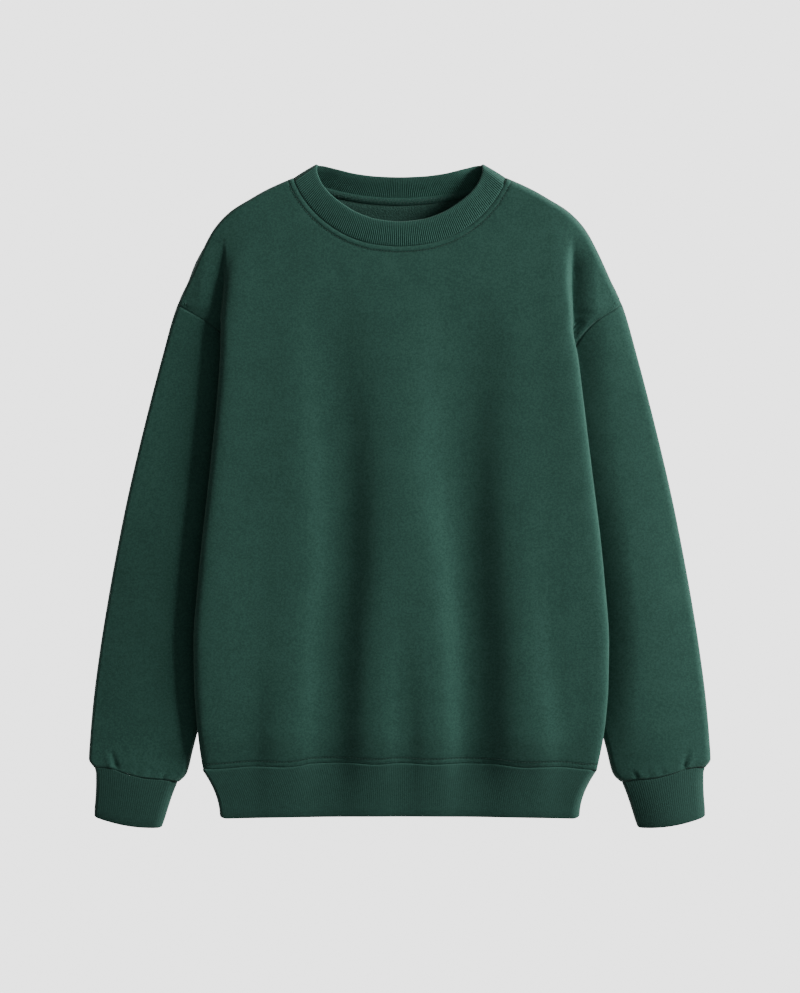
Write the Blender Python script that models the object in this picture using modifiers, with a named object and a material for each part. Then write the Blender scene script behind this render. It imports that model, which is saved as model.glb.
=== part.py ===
"""Crewneck sweatshirt, laid flat on its back with its sleeves straight down.

X runs across the garment, Y from hem to neck and Z up from the surface it lies on.
The sizes are in millimetres and become metres where each mesh is made.

The back panel lies flat. Below the underarm each sleeve is a flattened tube whose inner
part lies under the torso. The front panel covers the torso, rolls under at the torso's
edge, runs in over the sleeve and comes down to the side seam, so the slack of the wide
body is taken up as a fold between the torso and each sleeve.
"""

import bpy
import numpy as np

MM = 0.001

# ---------------------------------------------------------------- finishes: colour, roughness
FLEECE_FINISH = ((0.022, 0.078, 0.057), 0.95)
RIB_FINISH = ((0.020, 0.072, 0.052), 0.9)
TAPE_FINISH = ((0.035, 0.105, 0.078), 0.85)

# ---------------------------------------------------------------- driving sizes, mm
FLEECE = 2.2            # wall of the body and sleeves
RIB = 3.0               # doubled rib knit of collar, cuffs and hem
SEAM_GAP = 0.3          # distance between two pieces where they are sewn together
MIDDLE_GAP = 0.8        # the same between the middles of two walls, whose end faces lean
RIB_PITCH = 2.4         # one knit rib and its groove
RIB_RELIEF = 0.5        # a rib stands this far above its groove
TAPE = 1.0              # thickness of the neck tape
TAPE_WIDTH = 8.2

NECK_HALF = 116.3       # from the middle to the point where collar and shoulder meet
NECK_POINT_Y = 347.8
SHOULDER_Y = 209.5      # where the armhole seam meets the garment's outer edge
SHOULDER_HALF = 243.6
UNDERARM_Y = 89.2
UNDERARM_HALF = 150.6
HEM_SEAM_Y = -291.5
HEM_SEAM_DROP = 6.5     # the hem seam sits this much lower at the sides
HEM_SEAM_FLAT = 100.0   # and starts to drop this far from the middle
HEM_EDGE_Y = -351.0
HEM_SEAM_HALF = 215.4
HEM_EDGE_HALF = 196.6
CUFF_WIDTH = 88.0
COLLAR_RIBS = 133       # ribs on the collar's front half

STRIP_HEIGHT = 10.2     # the front's folded strip, over the sleeve
STRIP_AT_HEM = 7.4
SLEEVE_UNDER = 6.0      # top layer of the sleeve where the torso covers it
FLOOR_LAYER = FLEECE / 2
SIDE_SEAM_HEIGHT = FLEECE + 0.9
ROLL = 14.0             # width of the soft roll at the garment's outer edge


def table(names, rows):
    """Columns by name, from rows that are sorted by their first column."""
    return dict(zip(names, np.array(rows, dtype=float).T))


# The garment's outer edge from the neck point down to the cuff seam.
OUTER = table(("y", "half"), (
    (-294.6, 334.8), (-291.0, 338.0), (-287.0, 339.8), (-266.0, 338.6), (-223.0, 334.8),
    (-168.0, 327.7), (-113.0, 318.9), (-59.0, 309.1), (-4.0, 298.1), (51.0, 285.5),
    (106.0, 271.9), (160.0, 257.6), (204.0, 245.0), (237.0, 230.3), (259.0, 220.4),
    (281.0, 209.5), (292.0, 202.9), (302.0, 194.7), (313.0, 182.7), (324.0, 164.9),
    (335.3, 145.2), (347.8, 116.3)))

# The torso's visible edge, how far the torso lies to the right of the middle,
# and how far in the folded strip runs under it.
TORSO = table(("y", "edge", "shift", "inner"), (
    (-297.0, 214.6, 0.4, 206.0), (-285.0, 217.0, 0.6, 209.0), (-265.0, 220.2, 1.2, 214.0),
    (-240.0, 223.0, 1.6, 215.0), (-208.0, 225.2, 1.8, 209.6), (-160.0, 226.0, 1.8, 199.8),
    (-90.0, 221.0, 1.8, 185.6), (-40.0, 216.0, 1.8, 175.6), (0.0, 211.2, 1.8, 167.2),
    (60.0, 204.2, 1.8, 154.0), (89.2, 201.0, 1.8, 147.7), (130.0, 196.8, 1.8, 156.0),
    (177.0, 192.4, 1.8, 168.0), (202.0, 189.4, 1.6, 172.0), (235.0, 187.0, 1.2, 177.0),
    (285.0, 188.0, 0.6, 181.0), (348.0, 188.0, 0.0, 181.0)))

# The sleeve's inner edge, hidden under the torso down to y = -255.
SLEEVE_INNER = table(("y", "half"), (
    (-310.5, 241.6), (-305.0, 235.6), (-299.8, 232.7), (-278.4, 227.3), (-255.4, 221.6),
    (-208.0, 212.5), (-160.0, 202.7), (-90.0, 188.5), (-40.0, 178.5), (0.0, 170.1),
    (60.0, 156.9), (89.2, 150.6)))

# The armhole seam on the front, from the underarm to the outer edge.
ARMHOLE = table(("y", "half"), (
    (89.2, 150.6), (130.0, 171.0), (160.0, 184.5), (176.8, 192.5), (185.9, 203.4),
    (195.0, 217.4), (202.3, 230.0), (209.5, 243.6)))

# The collar's seam and its free edge, by the share of the way from crease to middle.
FRONT_COLLAR = table(("share", "seam_x", "seam_y", "edge_x", "edge_y"), (
    (0.00, 116.3, 347.8, 91.6, 363.2), (0.10, 110.6, 335.2, 90.6, 355.4),
    (0.22, 101.2, 320.4, 86.6, 344.6), (0.35, 88.4, 306.0, 79.0, 333.2),
    (0.50, 69.6, 291.4, 64.8, 320.8), (0.66, 47.2, 280.2, 45.0, 308.6),
    (0.82, 24.6, 274.6, 23.6, 301.6), (1.00, 0.0, 272.6, 0.0, 299.2)))
BACK_COLLAR = table(("share", "seam_x", "seam_y", "edge_x", "edge_y"), (
    (0.00, 116.3, 347.8, 91.6, 363.2), (0.25, 89.0, 336.0, 69.0, 357.4),
    (0.50, 59.6, 328.2, 46.8, 352.2), (0.75, 29.8, 323.6, 23.4, 349.4),
    (1.00, 0.0, 322.0, 0.0, 348.6)))

# The long folds of the lower front are made by soft steps, here from left to right. Each has
# its place, its steepest slope (up is positive) and its half width by height on the garment.
FOLD_STEPS = tuple(table(("y", "place", "slope", "width"), rows) for rows in (
    ((-260, -149, 0.14, 10), (-150, -145, 0.03, 10), (-60, -145, 0.0, 10)),
    ((-260, -102, -0.17, 13), (-150, -99, -0.18, 11), (-60, -90, -0.18, 13), (40, -93, -0.15, 16),
     (150, -97, -0.08, 16)),
    ((-260, -54, 0.25, 14), (-150, -50, 0.26, 16), (-60, -43, 0.24, 17), (40, -42, 0.19, 18),
     (150, -47, 0.09, 20)),
    ((-260, -11, -0.15, 10), (-150, -12, -0.04, 10), (-60, -12, 0.0, 10)),
    ((-260, 18, 0.14, 8), (-150, 14, 0.03, 8), (-60, 14, 0.0, 8)),
    ((-260, 57, -0.30, 11), (-150, 51, -0.30, 12), (-60, 43, -0.25, 15), (40, 32, -0.19, 20),
     (150, 33, -0.09, 24)),
    ((-260, 100, 0.28, 18), (-150, 97, 0.28, 19), (-60, 92, 0.26, 19), (40, 94, 0.20, 20),
     (150, 103, 0.10, 20)),
    ((-260, 165, -0.24, 14), (-150, 151, -0.12, 14), (-60, 148, -0.04, 14), (40, 148, -0.02, 14),
     (150, 148, 0.0, 14))))
TORSO_HALF = 225.0

# How strongly the folds show, and how high the front lies, by height on the garment.
FRONT_HEIGHT = table(("y", "fold", "height"), (
    (-352.0, 0.20, 9.2), (-321.0, 0.30, 11.6), (-300.0, 0.50, 13.6), (-285.0, 0.80, 15.0),
    (-260.0, 1.0, 17.6), (-157.0, 1.0, 21.0), (-26.0, 1.0, 22.0), (106.0, 1.0, 22.0),
    (150.0, 1.0, 21.8), (193.0, 0.6, 21.0), (250.0, 0.0, 18.5), (348.0, 0.0, 14.0)))

# The cuff's outer and inner side, from its seam to its free end.
CUFF = table(("share", "outer_x", "outer_y", "inner_x", "inner_y"), (
    (0.00, 333.4, -295.3, 242.6, -311.2), (0.15, 331.6, -303.4, 246.6, -320.4),
    (0.40, 331.6, -317.6, 250.8, -332.0), (0.70, 332.6, -334.0, 254.9, -345.8),
    (0.95, 333.6, -347.2, 258.6, -357.6), (1.00, 332.6, -349.4, 261.0, -361.0)))
CUFF_BOW = 3.8          # the cuff's free end curves out this far between its corners
CUFF_HEIGHT = 9.8


# ---------------------------------------------------------------- curves and surfaces
def along(tab, key, at, value):
    """Smooth value of a table's column: cubic pieces with slopes that never overshoot."""
    x, y = tab[key], tab[value]
    step = np.diff(y) / np.diff(x)
    same = step[1:] * step[:-1] > 0
    inner = np.where(same, 2 * step[1:] * step[:-1] / np.where(same, step[1:] + step[:-1], 1), 0)
    slope = np.concatenate(([step[0]], inner, [step[-1]]))
    at = np.clip(at, x[0], x[-1])
    i = np.clip(np.searchsorted(x, at) - 1, 0, len(x) - 2)
    width = x[i + 1] - x[i]
    t = (at - x[i]) / width
    return ((1 + 2 * t) * (1 - t) ** 2 * y[i] + t * (1 - t) ** 2 * width * slope[i]
            + t * t * (3 - 2 * t) * y[i + 1] + t * t * (t - 1) * width * slope[i + 1])


def ease(t):
    """Smooth step from 0 to 1 as t goes from 0 to 1."""
    t = np.clip(t, 0.0, 1.0)
    return t * t * (3 - 2 * t)


def quarter(t):
    """Quarter circle: rises steeply from 0 at t = 0 and is flat at 1 from t = 1 on."""
    return np.sqrt(np.clip(1 - (1 - np.clip(t, 0.0, 1.0)) ** 2, 0.0, 1.0))


def spline(points, at):
    """Uniform cubic B-spline that starts and ends on its end points.

    points has shape (..., n, 2) and at, in 0..n-1, the shape of the rest."""
    first = 2 * points[..., :1, :] - points[..., 1:2, :]
    last = 2 * points[..., -1:, :] - points[..., -2:-1, :]
    net = np.concatenate((first, points, last), axis=-2)
    i = np.clip(np.floor(at).astype(int), 0, points.shape[-2] - 2)
    t = at - i
    weights = ((1 - t) ** 3, 3 * t ** 3 - 6 * t ** 2 + 4, -3 * t ** 3 + 3 * t ** 2 + 3 * t + 1, t ** 3)
    total = 0
    for k, weight in enumerate(weights):
        picked = np.take_along_axis(net, (i + k)[..., None, None], axis=-2)[..., 0, :]
        total = total + picked * weight[..., None] / 6
    return total


def edge_distance(half, y):
    """Distance from the garment's outer edge, less half a wall."""
    ax, ay = OUTER["half"][:-1], OUTER["y"][:-1]
    bx, by = OUTER["half"][1:], OUTER["y"][1:]
    px, py = np.asarray(half)[..., None], np.asarray(y)[..., None]
    t = ((px - ax) * (bx - ax) + (py - ay) * (by - ay)) / ((bx - ax) ** 2 + (by - ay) ** 2)
    t = np.clip(t, 0, 1)
    gap = np.hypot(px - ax - t * (bx - ax), py - ay - t * (by - ay)).min(axis=-1)
    return np.maximum(gap - FLEECE / 2, 0)


def outer_half(y):
    """Half width of the wall's middle at the garment's outer edge."""
    lean = (along(OUTER, "y", y + 2, "half") - along(OUTER, "y", y - 2, "half")) / 4
    return along(OUTER, "y", y, "half") - FLEECE / 2 * np.hypot(1, lean)


def folds(x, y):
    """Height of the long folds: slope times width times tanh((x - place) / width) for each
    step, less an even slope that brings the last height back to the first."""
    total, rise = 0, 0
    for step in FOLD_STEPS:
        place, slope, width = (along(step, "y", y, name) for name in ("place", "slope", "width"))
        total = total + slope * width * (np.tanh((x - place) / width)
                                         - np.tanh((-TORSO_HALF - place) / width))
        rise = rise + 2 * slope * width
    return total - rise * (x + TORSO_HALF) / (2 * TORSO_HALF)


def front_height(x, y):
    """Height of the front panel's top layer."""
    return along(FRONT_HEIGHT, "y", y, "height") + along(FRONT_HEIGHT, "y", y, "fold") * folds(x, y)


def sleeve_height(half, y):
    """Height of the sleeve's top layer: low under the torso, full where it shows."""
    shown = ease((half - along(TORSO, "y", y, "edge") - 5) / 40)
    full = 7.5 - 3.0 * ease((-255 - y) / 35)
    return SLEEVE_UNDER + full * shown


def seam_low(half):
    """Height of the front panel's end at the shoulder, where the back panel lies under it."""
    return SIDE_SEAM_HEIGHT + 4.4 * ease((150 - half) / 30)


# ---------------------------------------------------------------- the front panel
FOLD_TOP_Y, FOLD_FULL_Y = 245.0, 150.0      # the side fold starts and is fully formed here
FOLD_IN, FOLD_DOWN = 1.5, 0.7               # how late the fold draws in and drops, as powers
BAND = 22.0                                 # column 1 runs this far inside the torso's edge


def front_section(column, y, side):
    """Point of the front panel on a column line at height y.

    column 0 is the middle, 1 the start of the roll at the torso's edge and 2 the seam.
    From 1 to 2 the wall follows a spline: over the edge, in under the torso above the
    sleeve and, above the underarm, out again to the armhole seam."""
    edge = along(TORSO, "y", y, "edge")
    inner = along(TORSO, "y", y, "inner")
    start = edge - BAND
    flat = np.stack((np.minimum(column, 1) * start,
                     front_height(side * np.minimum(column, 1) * start, y)), axis=-1)

    folded = ease((FOLD_TOP_Y - y) / (FOLD_TOP_Y - FOLD_FULL_Y))
    below_arm = ease((UNDERARM_Y + 1 - y) / 12)
    at_hem = ease((-235 - y) / 50)
    armhole = np.minimum(along(ARMHOLE, "y", y, "half"), outer_half(np.minimum(y, SHOULDER_Y)))
    seam = np.where(y < UNDERARM_Y, inner, armhole)
    seam_z = np.where(y < UNDERARM_Y, SLEEVE_UNDER, sleeve_height(seam, y))
    seam_z = seam_z + (SIDE_SEAM_HEIGHT - seam_z) * below_arm
    top = front_height(side * edge, y)
    strip = STRIP_HEIGHT + (STRIP_AT_HEM - STRIP_HEIGHT) * at_hem
    depth = edge - inner

    nine = np.arange(9) / 8
    loose_u = start[..., None] + nine * (seam - start)[..., None]
    loose_z = flat[..., 1:] + nine * (seam_z - flat[..., 1] + 2)[..., None]
    turn_z = SLEEVE_UNDER * (1 - below_arm) + (strip - 0.8) * below_arm
    back_out = 1.5 * (1 - below_arm)
    tight_u = np.stack((start, edge - 2.5, edge - 0.5, edge - 2.5,
                        edge - 0.5 * depth, inner + np.minimum(3, depth / 4) * below_arm - back_out,
                        inner - back_out, np.minimum((inner + seam) / 2, edge), seam), axis=-1)
    before_seam = turn_z + (seam_z - turn_z) * 0.5 * below_arm
    tight_z = np.stack((flat[..., 1], top, (top + strip) / 2, strip, strip, strip,
                        turn_z, before_seam, seam_z), axis=-1)
    ctrl = np.stack((loose_u + (tight_u - loose_u) * folded[..., None] ** FOLD_IN,
                     loose_z + (tight_z - loose_z) * folded[..., None] ** FOLD_DOWN), axis=-1)
    curved = spline(ctrl, np.clip(column - 1, 0, 1) * 8)
    point = np.where((column <= 1)[..., None], flat, curved)
    half, z = point[..., 0], point[..., 1]

    near_edge = quarter(edge_distance(half, y) / ROLL)
    hidden = (column > 1.3) & (y < FOLD_FULL_Y) & (half < edge + 2)
    near_edge = np.where(hidden, 1.0, near_edge)
    z = seam_low(half) + (z - seam_low(half)) * near_edge
    shift = along(TORSO, "y", y, "shift") * ease((1.7 - column) / 0.4)
    return np.stack((side * half + shift, y, z), axis=-1)


def column_top(column):
    """Height where a column line meets the neckline, the shoulder or the armhole's top."""
    y = np.linspace(SHOULDER_Y, NECK_POINT_Y, 560)
    grid = front_section(np.full_like(y, column), y, 1.0)
    half = grid[:, 0]
    inside = half <= outer_half(y) + 1e-6
    meet = y[inside].max()
    if half[-1] < NECK_HALF:
        seam = collar_line(FRONT_COLLAR, "seam", np.linspace(1, 2, 400))
        meet = min(meet, np.interp(half[-1], seam[:, 0], seam[:, 1]))
    return meet


def hem_seam(half):
    """The hem seam: straight in the middle and lower towards the sides."""
    return HEM_SEAM_Y - HEM_SEAM_DROP * ease((half - HEM_SEAM_FLAT) / 110)


NECK_COLUMN = NECK_HALF / (TORSO["edge"][-1] - BAND)
TORSO_COLUMNS = (0.0, 0.09, 0.18, 0.27, 0.36, 0.44, 0.52, 0.59, 0.65, NECK_COLUMN, 0.77, 0.86, 0.94)
ROLL_COLUMNS = (1.0, 1.06, 1.12, 1.18, 1.24, 1.31, 1.41, 1.53, 1.62, 1.69, 1.76, 1.84, 1.92, 2.0)
LOWER_ROWS = (0, .017, .052, .104, .173, .25, .337, .423, .509, .587, .656, .716, .759, .781, .798,
              .824, .863, .905, .941, .973)
UPPER_ROWS = (0, .16, .34, .52, .7, .84, .94, .985, 1.0)
LEVEL_Y = 190.0         # rows are level up to here, and bend towards the neckline above it


def front_points():
    """Grid of the front panel's wall middle: rows from hem to neck, columns from left to right."""
    half_columns = np.array(TORSO_COLUMNS + ROLL_COLUMNS)
    top = np.array([column_top(c) for c in half_columns])
    start = TORSO["edge"][0] - BAND
    bottom = hem_seam(np.interp(half_columns, (0, 1, 1.12, 1.24), (0, start, start + 13, start + 21)))
    y = np.concatenate((bottom + np.array(LOWER_ROWS)[:, None] * (LEVEL_Y - bottom),
                        LEVEL_Y + np.array(UPPER_ROWS)[:, None] * (top - LEVEL_Y)))
    column = np.broadcast_to(half_columns, y.shape)
    right = front_section(column, y, 1.0)
    left = front_section(column, y, -1.0)
    return np.concatenate((left[:, :0:-1], right), axis=1)


# ---------------------------------------------------------------- sleeves and cuffs
SLEEVE_ROWS = (0, .015, .06, .13, .21, .31, .42, .54, .66, .78, .88, .95, .98, 1.0)
UNDER = (.985, .95, .7, .4, .12, .03, .008)
SLEEVE_TURN = 3.8       # height of the sleeve's outermost line
TURN_SLOPE, TURN_WIDTH = 0.5, 3.0       # the top layer rises at least this much beside that line
SLEEVE_END_OUTER_Y = -295.4     # the sleeve's lower end, at its outer and its inner side
SLEEVE_END_INNER_Y = -311.0


def ring(outer, inner, over, top_height, outer_roll=ROLL, inner_roll=5.0):
    """One flattened ring from the outer side over the top to the inner side and back under.

    The top falls to the turn along a quarter ellipse at both sides, the underside rises
    to it along a smaller one."""
    under = np.array(UNDER)
    width = np.hypot(*(inner - outer))
    share = np.concatenate((over, under))
    plan = outer + share[:, None] * (inner - outer)
    sides = quarter(share * width / outer_roll) * quarter((1 - share) * width / inner_roll)
    feet = quarter(share * width / 4) * quarter((1 - share) * width / 4)
    on_top = np.arange(len(share)) < len(over)
    z = np.where(on_top, SLEEVE_TURN + (top_height(plan[:, 0], plan[:, 1]) - SLEEVE_TURN) * sides,
                 SLEEVE_TURN - (SLEEVE_TURN - FLOOR_LAYER) * feet)
    return plan, z, on_top


def sleeve_points(side, front_edge):
    """Rings of the sleeve's wall middle, from the armhole seam to the cuff seam.

    The first ring follows the front panel's armhole edge, and later ones forget it."""
    over = (SHOULDER_Y - front_edge[::-1, 1]) / (SHOULDER_Y - UNDERARM_Y)
    over = np.concatenate(((0.0,), over[(over > 0.01) & (over < 0.98)], (0.992, 1.0)))
    rings = []
    for row in SLEEVE_ROWS:
        start = MIDDLE_GAP / 500
        w = start + row * (1 - start)
        oy = SHOULDER_Y + (SLEEVE_END_OUTER_Y - SHOULDER_Y) * w
        iy = UNDERARM_Y - 2 + (SLEEVE_END_INNER_Y - UNDERARM_Y + 2) * w
        outer = np.array((float(outer_half(oy)), oy))
        inner = np.array((float(along(SLEEVE_INNER, "y", iy, "half")), iy))
        plan, z, on_top = ring(outer, inner, over, sleeve_height)
        chord_y = SHOULDER_Y + (plan[:, 1] - oy) / (iy - oy) * (UNDERARM_Y - SHOULDER_Y)
        shoulder_half = outer_half(SHOULDER_Y)
        chord = shoulder_half + (chord_y - SHOULDER_Y) / (UNDERARM_Y - SHOULDER_Y) * (
            UNDERARM_HALF - shoulder_half)
        fade = np.where(on_top, (1 - w) ** 4, 0.0)
        plan[:, 0] += (np.interp(chord_y, front_edge[:, 1], np.abs(front_edge[:, 0])) - chord) * fade
        fade = fade * quarter((UNDERARM_Y - chord_y) / -8)
        z += (np.interp(chord_y, front_edge[:, 1], front_edge[:, 2]) - z) * fade ** 2
        away = np.hypot(*(plan - plan[0]).T)
        least = SLEEVE_TURN + TURN_SLOPE * np.minimum(away, TURN_WIDTH)
        z = np.where(on_top & (away < ROLL), np.maximum(z, least), z)
        rings.append(np.column_stack((side * plan[:, 0], plan[:, 1], z)))
    return np.array(rings)


# ---------------------------------------------------------------- making the objects
def clear_scene():
    for obj in list(bpy.data.objects):
        bpy.data.objects.remove(obj, do_unlink=True)


def make_material(name, colour, roughness):
    material = bpy.data.materials.new(name)
    material.use_nodes = True
    shader = material.node_tree.nodes["Principled BSDF"]
    shader.inputs["Base Color"].default_value = (*colour, 1)
    shader.inputs["Roughness"].default_value = roughness
    shader.inputs["Metallic"].default_value = 0.0
    return material


def grid_faces(rows, columns, closed):
    """Quads of a grid, one row after another; closed joins the last column to the first."""
    faces = []
    for j in range(rows - 1):
        for i in range(columns if closed else columns - 1):
            k = (i + 1) % columns
            faces.append((j * columns + i, j * columns + k, (j + 1) * columns + k, (j + 1) * columns + i))
    return faces


def add_mesh(name, points, faces, collection, finish):
    mesh = bpy.data.meshes.new(name)
    mesh.from_pydata((points.reshape(-1, 3) * MM).tolist(), [], faces)
    mesh.materials.append(make_material(name, *finish))
    mesh.shade_smooth()
    obj = bpy.data.objects.new(name, mesh)
    collection.objects.link(obj)
    return obj


def add_cloth(name, points, collection, finish, thickness=FLEECE, closed=False, flip=False):
    """A cloth wall: the open surface through its middle, made solid to both sides."""
    rows, columns = points.shape[:2]
    faces = grid_faces(rows, columns, closed)
    if flip:
        faces = [face[::-1] for face in faces]
    obj = add_mesh(name, points, faces, collection, finish)
    wall = obj.modifiers.new("wall", "SOLIDIFY")
    wall.thickness = thickness * MM
    wall.offset = 0.0
    return obj


def add_flat(name, outline, bottom, thickness, collection, finish):
    """A flat piece: its outline as a filled curve, extruded to both sides."""
    curve = bpy.data.curves.new(name, "CURVE")
    curve.dimensions = "2D"
    curve.fill_mode = "BOTH"
    curve.extrude = thickness / 2 * MM
    path = curve.splines.new("POLY")
    path.points.add(len(outline) - 1)
    for point, (x, y) in zip(path.points, outline):
        point.co = (x * MM, y * MM, 0, 1)
    path.use_cyclic_u = True
    curve.materials.append(make_material(name, *finish))
    obj = bpy.data.objects.new(name, curve)
    obj.location = (0, 0, (bottom + thickness / 2) * MM)
    collection.objects.link(obj)
    return obj


def add_ribbed(name, seam, edge, ribbed, collection, finish):
    """A doubled rib band: a closed ring of sections from the seam to the rounded free edge.

    seam and edge hold a point for each column round the ring, and its first columns, as many
    as ribbed, have ribs raised on their outer face; the inner face stays plain."""
    columns = len(seam)
    index = np.arange(columns)
    ridge = np.where((index < ribbed) & (index % 2 == 0), -RIB_RELIEF, 0.0)[:, None]
    down = (edge - seam) / np.linalg.norm(edge - seam, axis=1, keepdims=True)
    path = (seam + edge) / 2
    outward = np.cross(np.roll(path, -1, axis=0) - np.roll(path, 1, axis=0), edge - seam)
    outward /= np.linalg.norm(outward, axis=1, keepdims=True)
    facing_up = outward[ribbed // 2, 2] > 0
    outward = outward if facing_up else -outward
    near_edge = edge - down * RIB / 2
    section = np.stack((seam + outward * (RIB / 2 + ridge), near_edge + outward * (RIB / 2 + ridge),
                        edge, near_edge - outward * RIB / 2, seam - outward * RIB / 2))
    faces = grid_faces(5, columns, True)
    faces += [(4 * columns + i, 4 * columns + (i + 1) % columns, (i + 1) % columns, i) for i in index]
    if not facing_up:
        faces = [face[::-1] for face in faces]
    return add_mesh(name, section, faces, collection, finish)


def even_columns(points, count):
    """Points spaced evenly along a dense curve, both ends included."""
    length = np.concatenate(([0], np.cumsum(np.linalg.norm(np.diff(points, axis=0), axis=1))))
    at = np.linspace(0, length[-1], count)
    return np.column_stack([np.interp(at, length, points[:, k]) for k in range(3)])


RIB_TURN = 2.6          # a flattened rib tube turns this far above its underside's middle
RIB_ROLL = 12.0         # width of its roll on top, and underneath
RIB_FOOT = 5.0
UNDER_SHARES = np.array((0.004, 0.014, 0.035, 0.12, 0.3, 0.5, 0.7, 0.88, 0.965, 0.986, 0.996))


def flat_tube(name, plan, height, counts, collection, finish):
    """A flattened rib tube, ribbed on top and plain where it lies on the surface.

    plan(share, t) gives the tube's line from its left to its right side at a share of its
    depth, and height(points) the height of its top layer there."""
    floor = RIB / 2
    turn_z = floor + RIB_TURN
    t = np.linspace(0, 1, 1201)
    lines = []
    for share in (0.0, 1.0):
        across = plan(share, t)
        width = np.hypot(*(across[-1] - across[0]))
        roll = quarter(t * width / RIB_ROLL) * quarter((1 - t) * width / RIB_ROLL)
        foot = quarter(t * width / RIB_FOOT) * quarter((1 - t) * width / RIB_FOOT)
        top = np.column_stack((across, turn_z + (height(across) - turn_z) * roll))
        under = np.column_stack((across, turn_z - (turn_z - floor) * foot))
        lines.append((even_columns(top, counts), under[np.searchsorted(t, UNDER_SHARES)]))
    (top_seam, under_seam), (top_edge, under_edge) = lines
    seam = np.concatenate((top_seam, under_seam[::-1]))
    edge = np.concatenate((top_edge, under_edge[::-1]))
    return add_ribbed(name, seam, edge, counts, collection, finish)


def corner(t, width, size, radius):
    """How far a free end draws back at its two corners."""
    return size * (1 - quarter(t * width / radius) * quarter((1 - t) * width / radius))


def make_hem(collection):
    """The hem rib: a flattened tube below the hem seam."""
    def plan(share, t):
        x_seam = (2 * t - 1) * (HEM_SEAM_HALF - RIB / 2)
        x_edge = (2 * t - 1) * (HEM_EDGE_HALF - RIB / 2)
        if share == 0:
            return np.column_stack((x_seam, hem_seam(np.abs(x_seam)) - MIDDLE_GAP))
        return np.column_stack((x_edge, HEM_EDGE_Y + corner(t, 2 * HEM_EDGE_HALF, 3.5, 7)))
    return flat_tube("hem_rib", plan, lambda p: front_height(p[:, 0], p[:, 1]),
                     2 * round(2 * HEM_SEAM_HALF / RIB_PITCH) - 1, collection, RIB_FINISH)


def make_cuff(name, side, collection):
    """A cuff: a flattened tube that the sleeve is gathered into."""
    def plan(share, t):
        row = 0 if share == 0 else -1
        outer = np.array((side * (CUFF["outer_x"][row] - RIB / 2), CUFF["outer_y"][row]))
        inner = np.array((side * (CUFF["inner_x"][row] + RIB / 2), CUFF["inner_y"][row]))
        left, right = (outer, inner) if side < 0 else (inner, outer)
        across = left + t[:, None] * (right - left)
        width = np.hypot(*(right - left))
        if share:
            across[:, 1] += corner(t, width, 2, 6) - CUFF_BOW * 4 * t * (1 - t)
        else:
            across[:, 1] -= MIDDLE_GAP
        return across
    return flat_tube(name, plan, lambda p: np.full(len(p), CUFF_HEIGHT),
                     2 * round(CUFF_WIDTH / RIB_PITCH) + 1, collection, RIB_FINISH)


CREASE_OUT = np.array((0.53, 0.85))     # direction that the collar's crease faces, right side
COLLAR_TURN = 4.4                       # height of the crease's outermost line
COLLAR_SIDE_Z, COLLAR_FRONT_Z = 7.5, 17.0       # its free edge near the crease and in front
COLLAR_UNDER = np.array((0.006, 0.02, 0.05, 0.09, 0.15, 0.22, 0.3, 0.4, 0.5,
                         0.6, 0.7, 0.78, 0.85, 0.91, 0.95, 0.98, 0.994))


def collar_line(tab, end, t):
    """Plan line of a collar half from its left crease (t = 0) to its right one (t = 2)."""
    both = {"t": np.concatenate((tab["share"], 2 - tab["share"][-2::-1])),
            "x": np.concatenate((-tab[end + "_x"], tab[end + "_x"][-2::-1])),
            "y": np.concatenate((tab[end + "_y"], tab[end + "_y"][-2::-1]))}
    return np.column_stack((along(both, "t", t, "x"), along(both, "t", t, "y")))


def follow(corners, line):
    """The line moved onto the straight runs between corners that lie on it."""
    x = line[:, 0]
    inside = (x > corners[0, 0]) & (x < corners[-1, 0])
    y = np.where(inside, np.interp(x, corners[:, 0], corners[:, 1]), line[:, 1])
    return np.column_stack((x, y))


def rim_height(half, y):
    """Height of the front panel near the neck, with its roll at the shoulder's edge."""
    low = seam_low(half)
    return low + (front_height(half, y) - low) * quarter(edge_distance(half, y) / ROLL)


def collar_plan(tab, end, t):
    """The same line for the middle of the wall, which stays half a wall inside the crease."""
    crease_in = (1 - ease(np.minimum(t, 2 - t) / 0.12))[:, None] * RIB / 2
    out = np.column_stack((np.sign(t - 1), np.ones_like(t))) * CREASE_OUT
    return collar_line(tab, end, t) - out * crease_in


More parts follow.
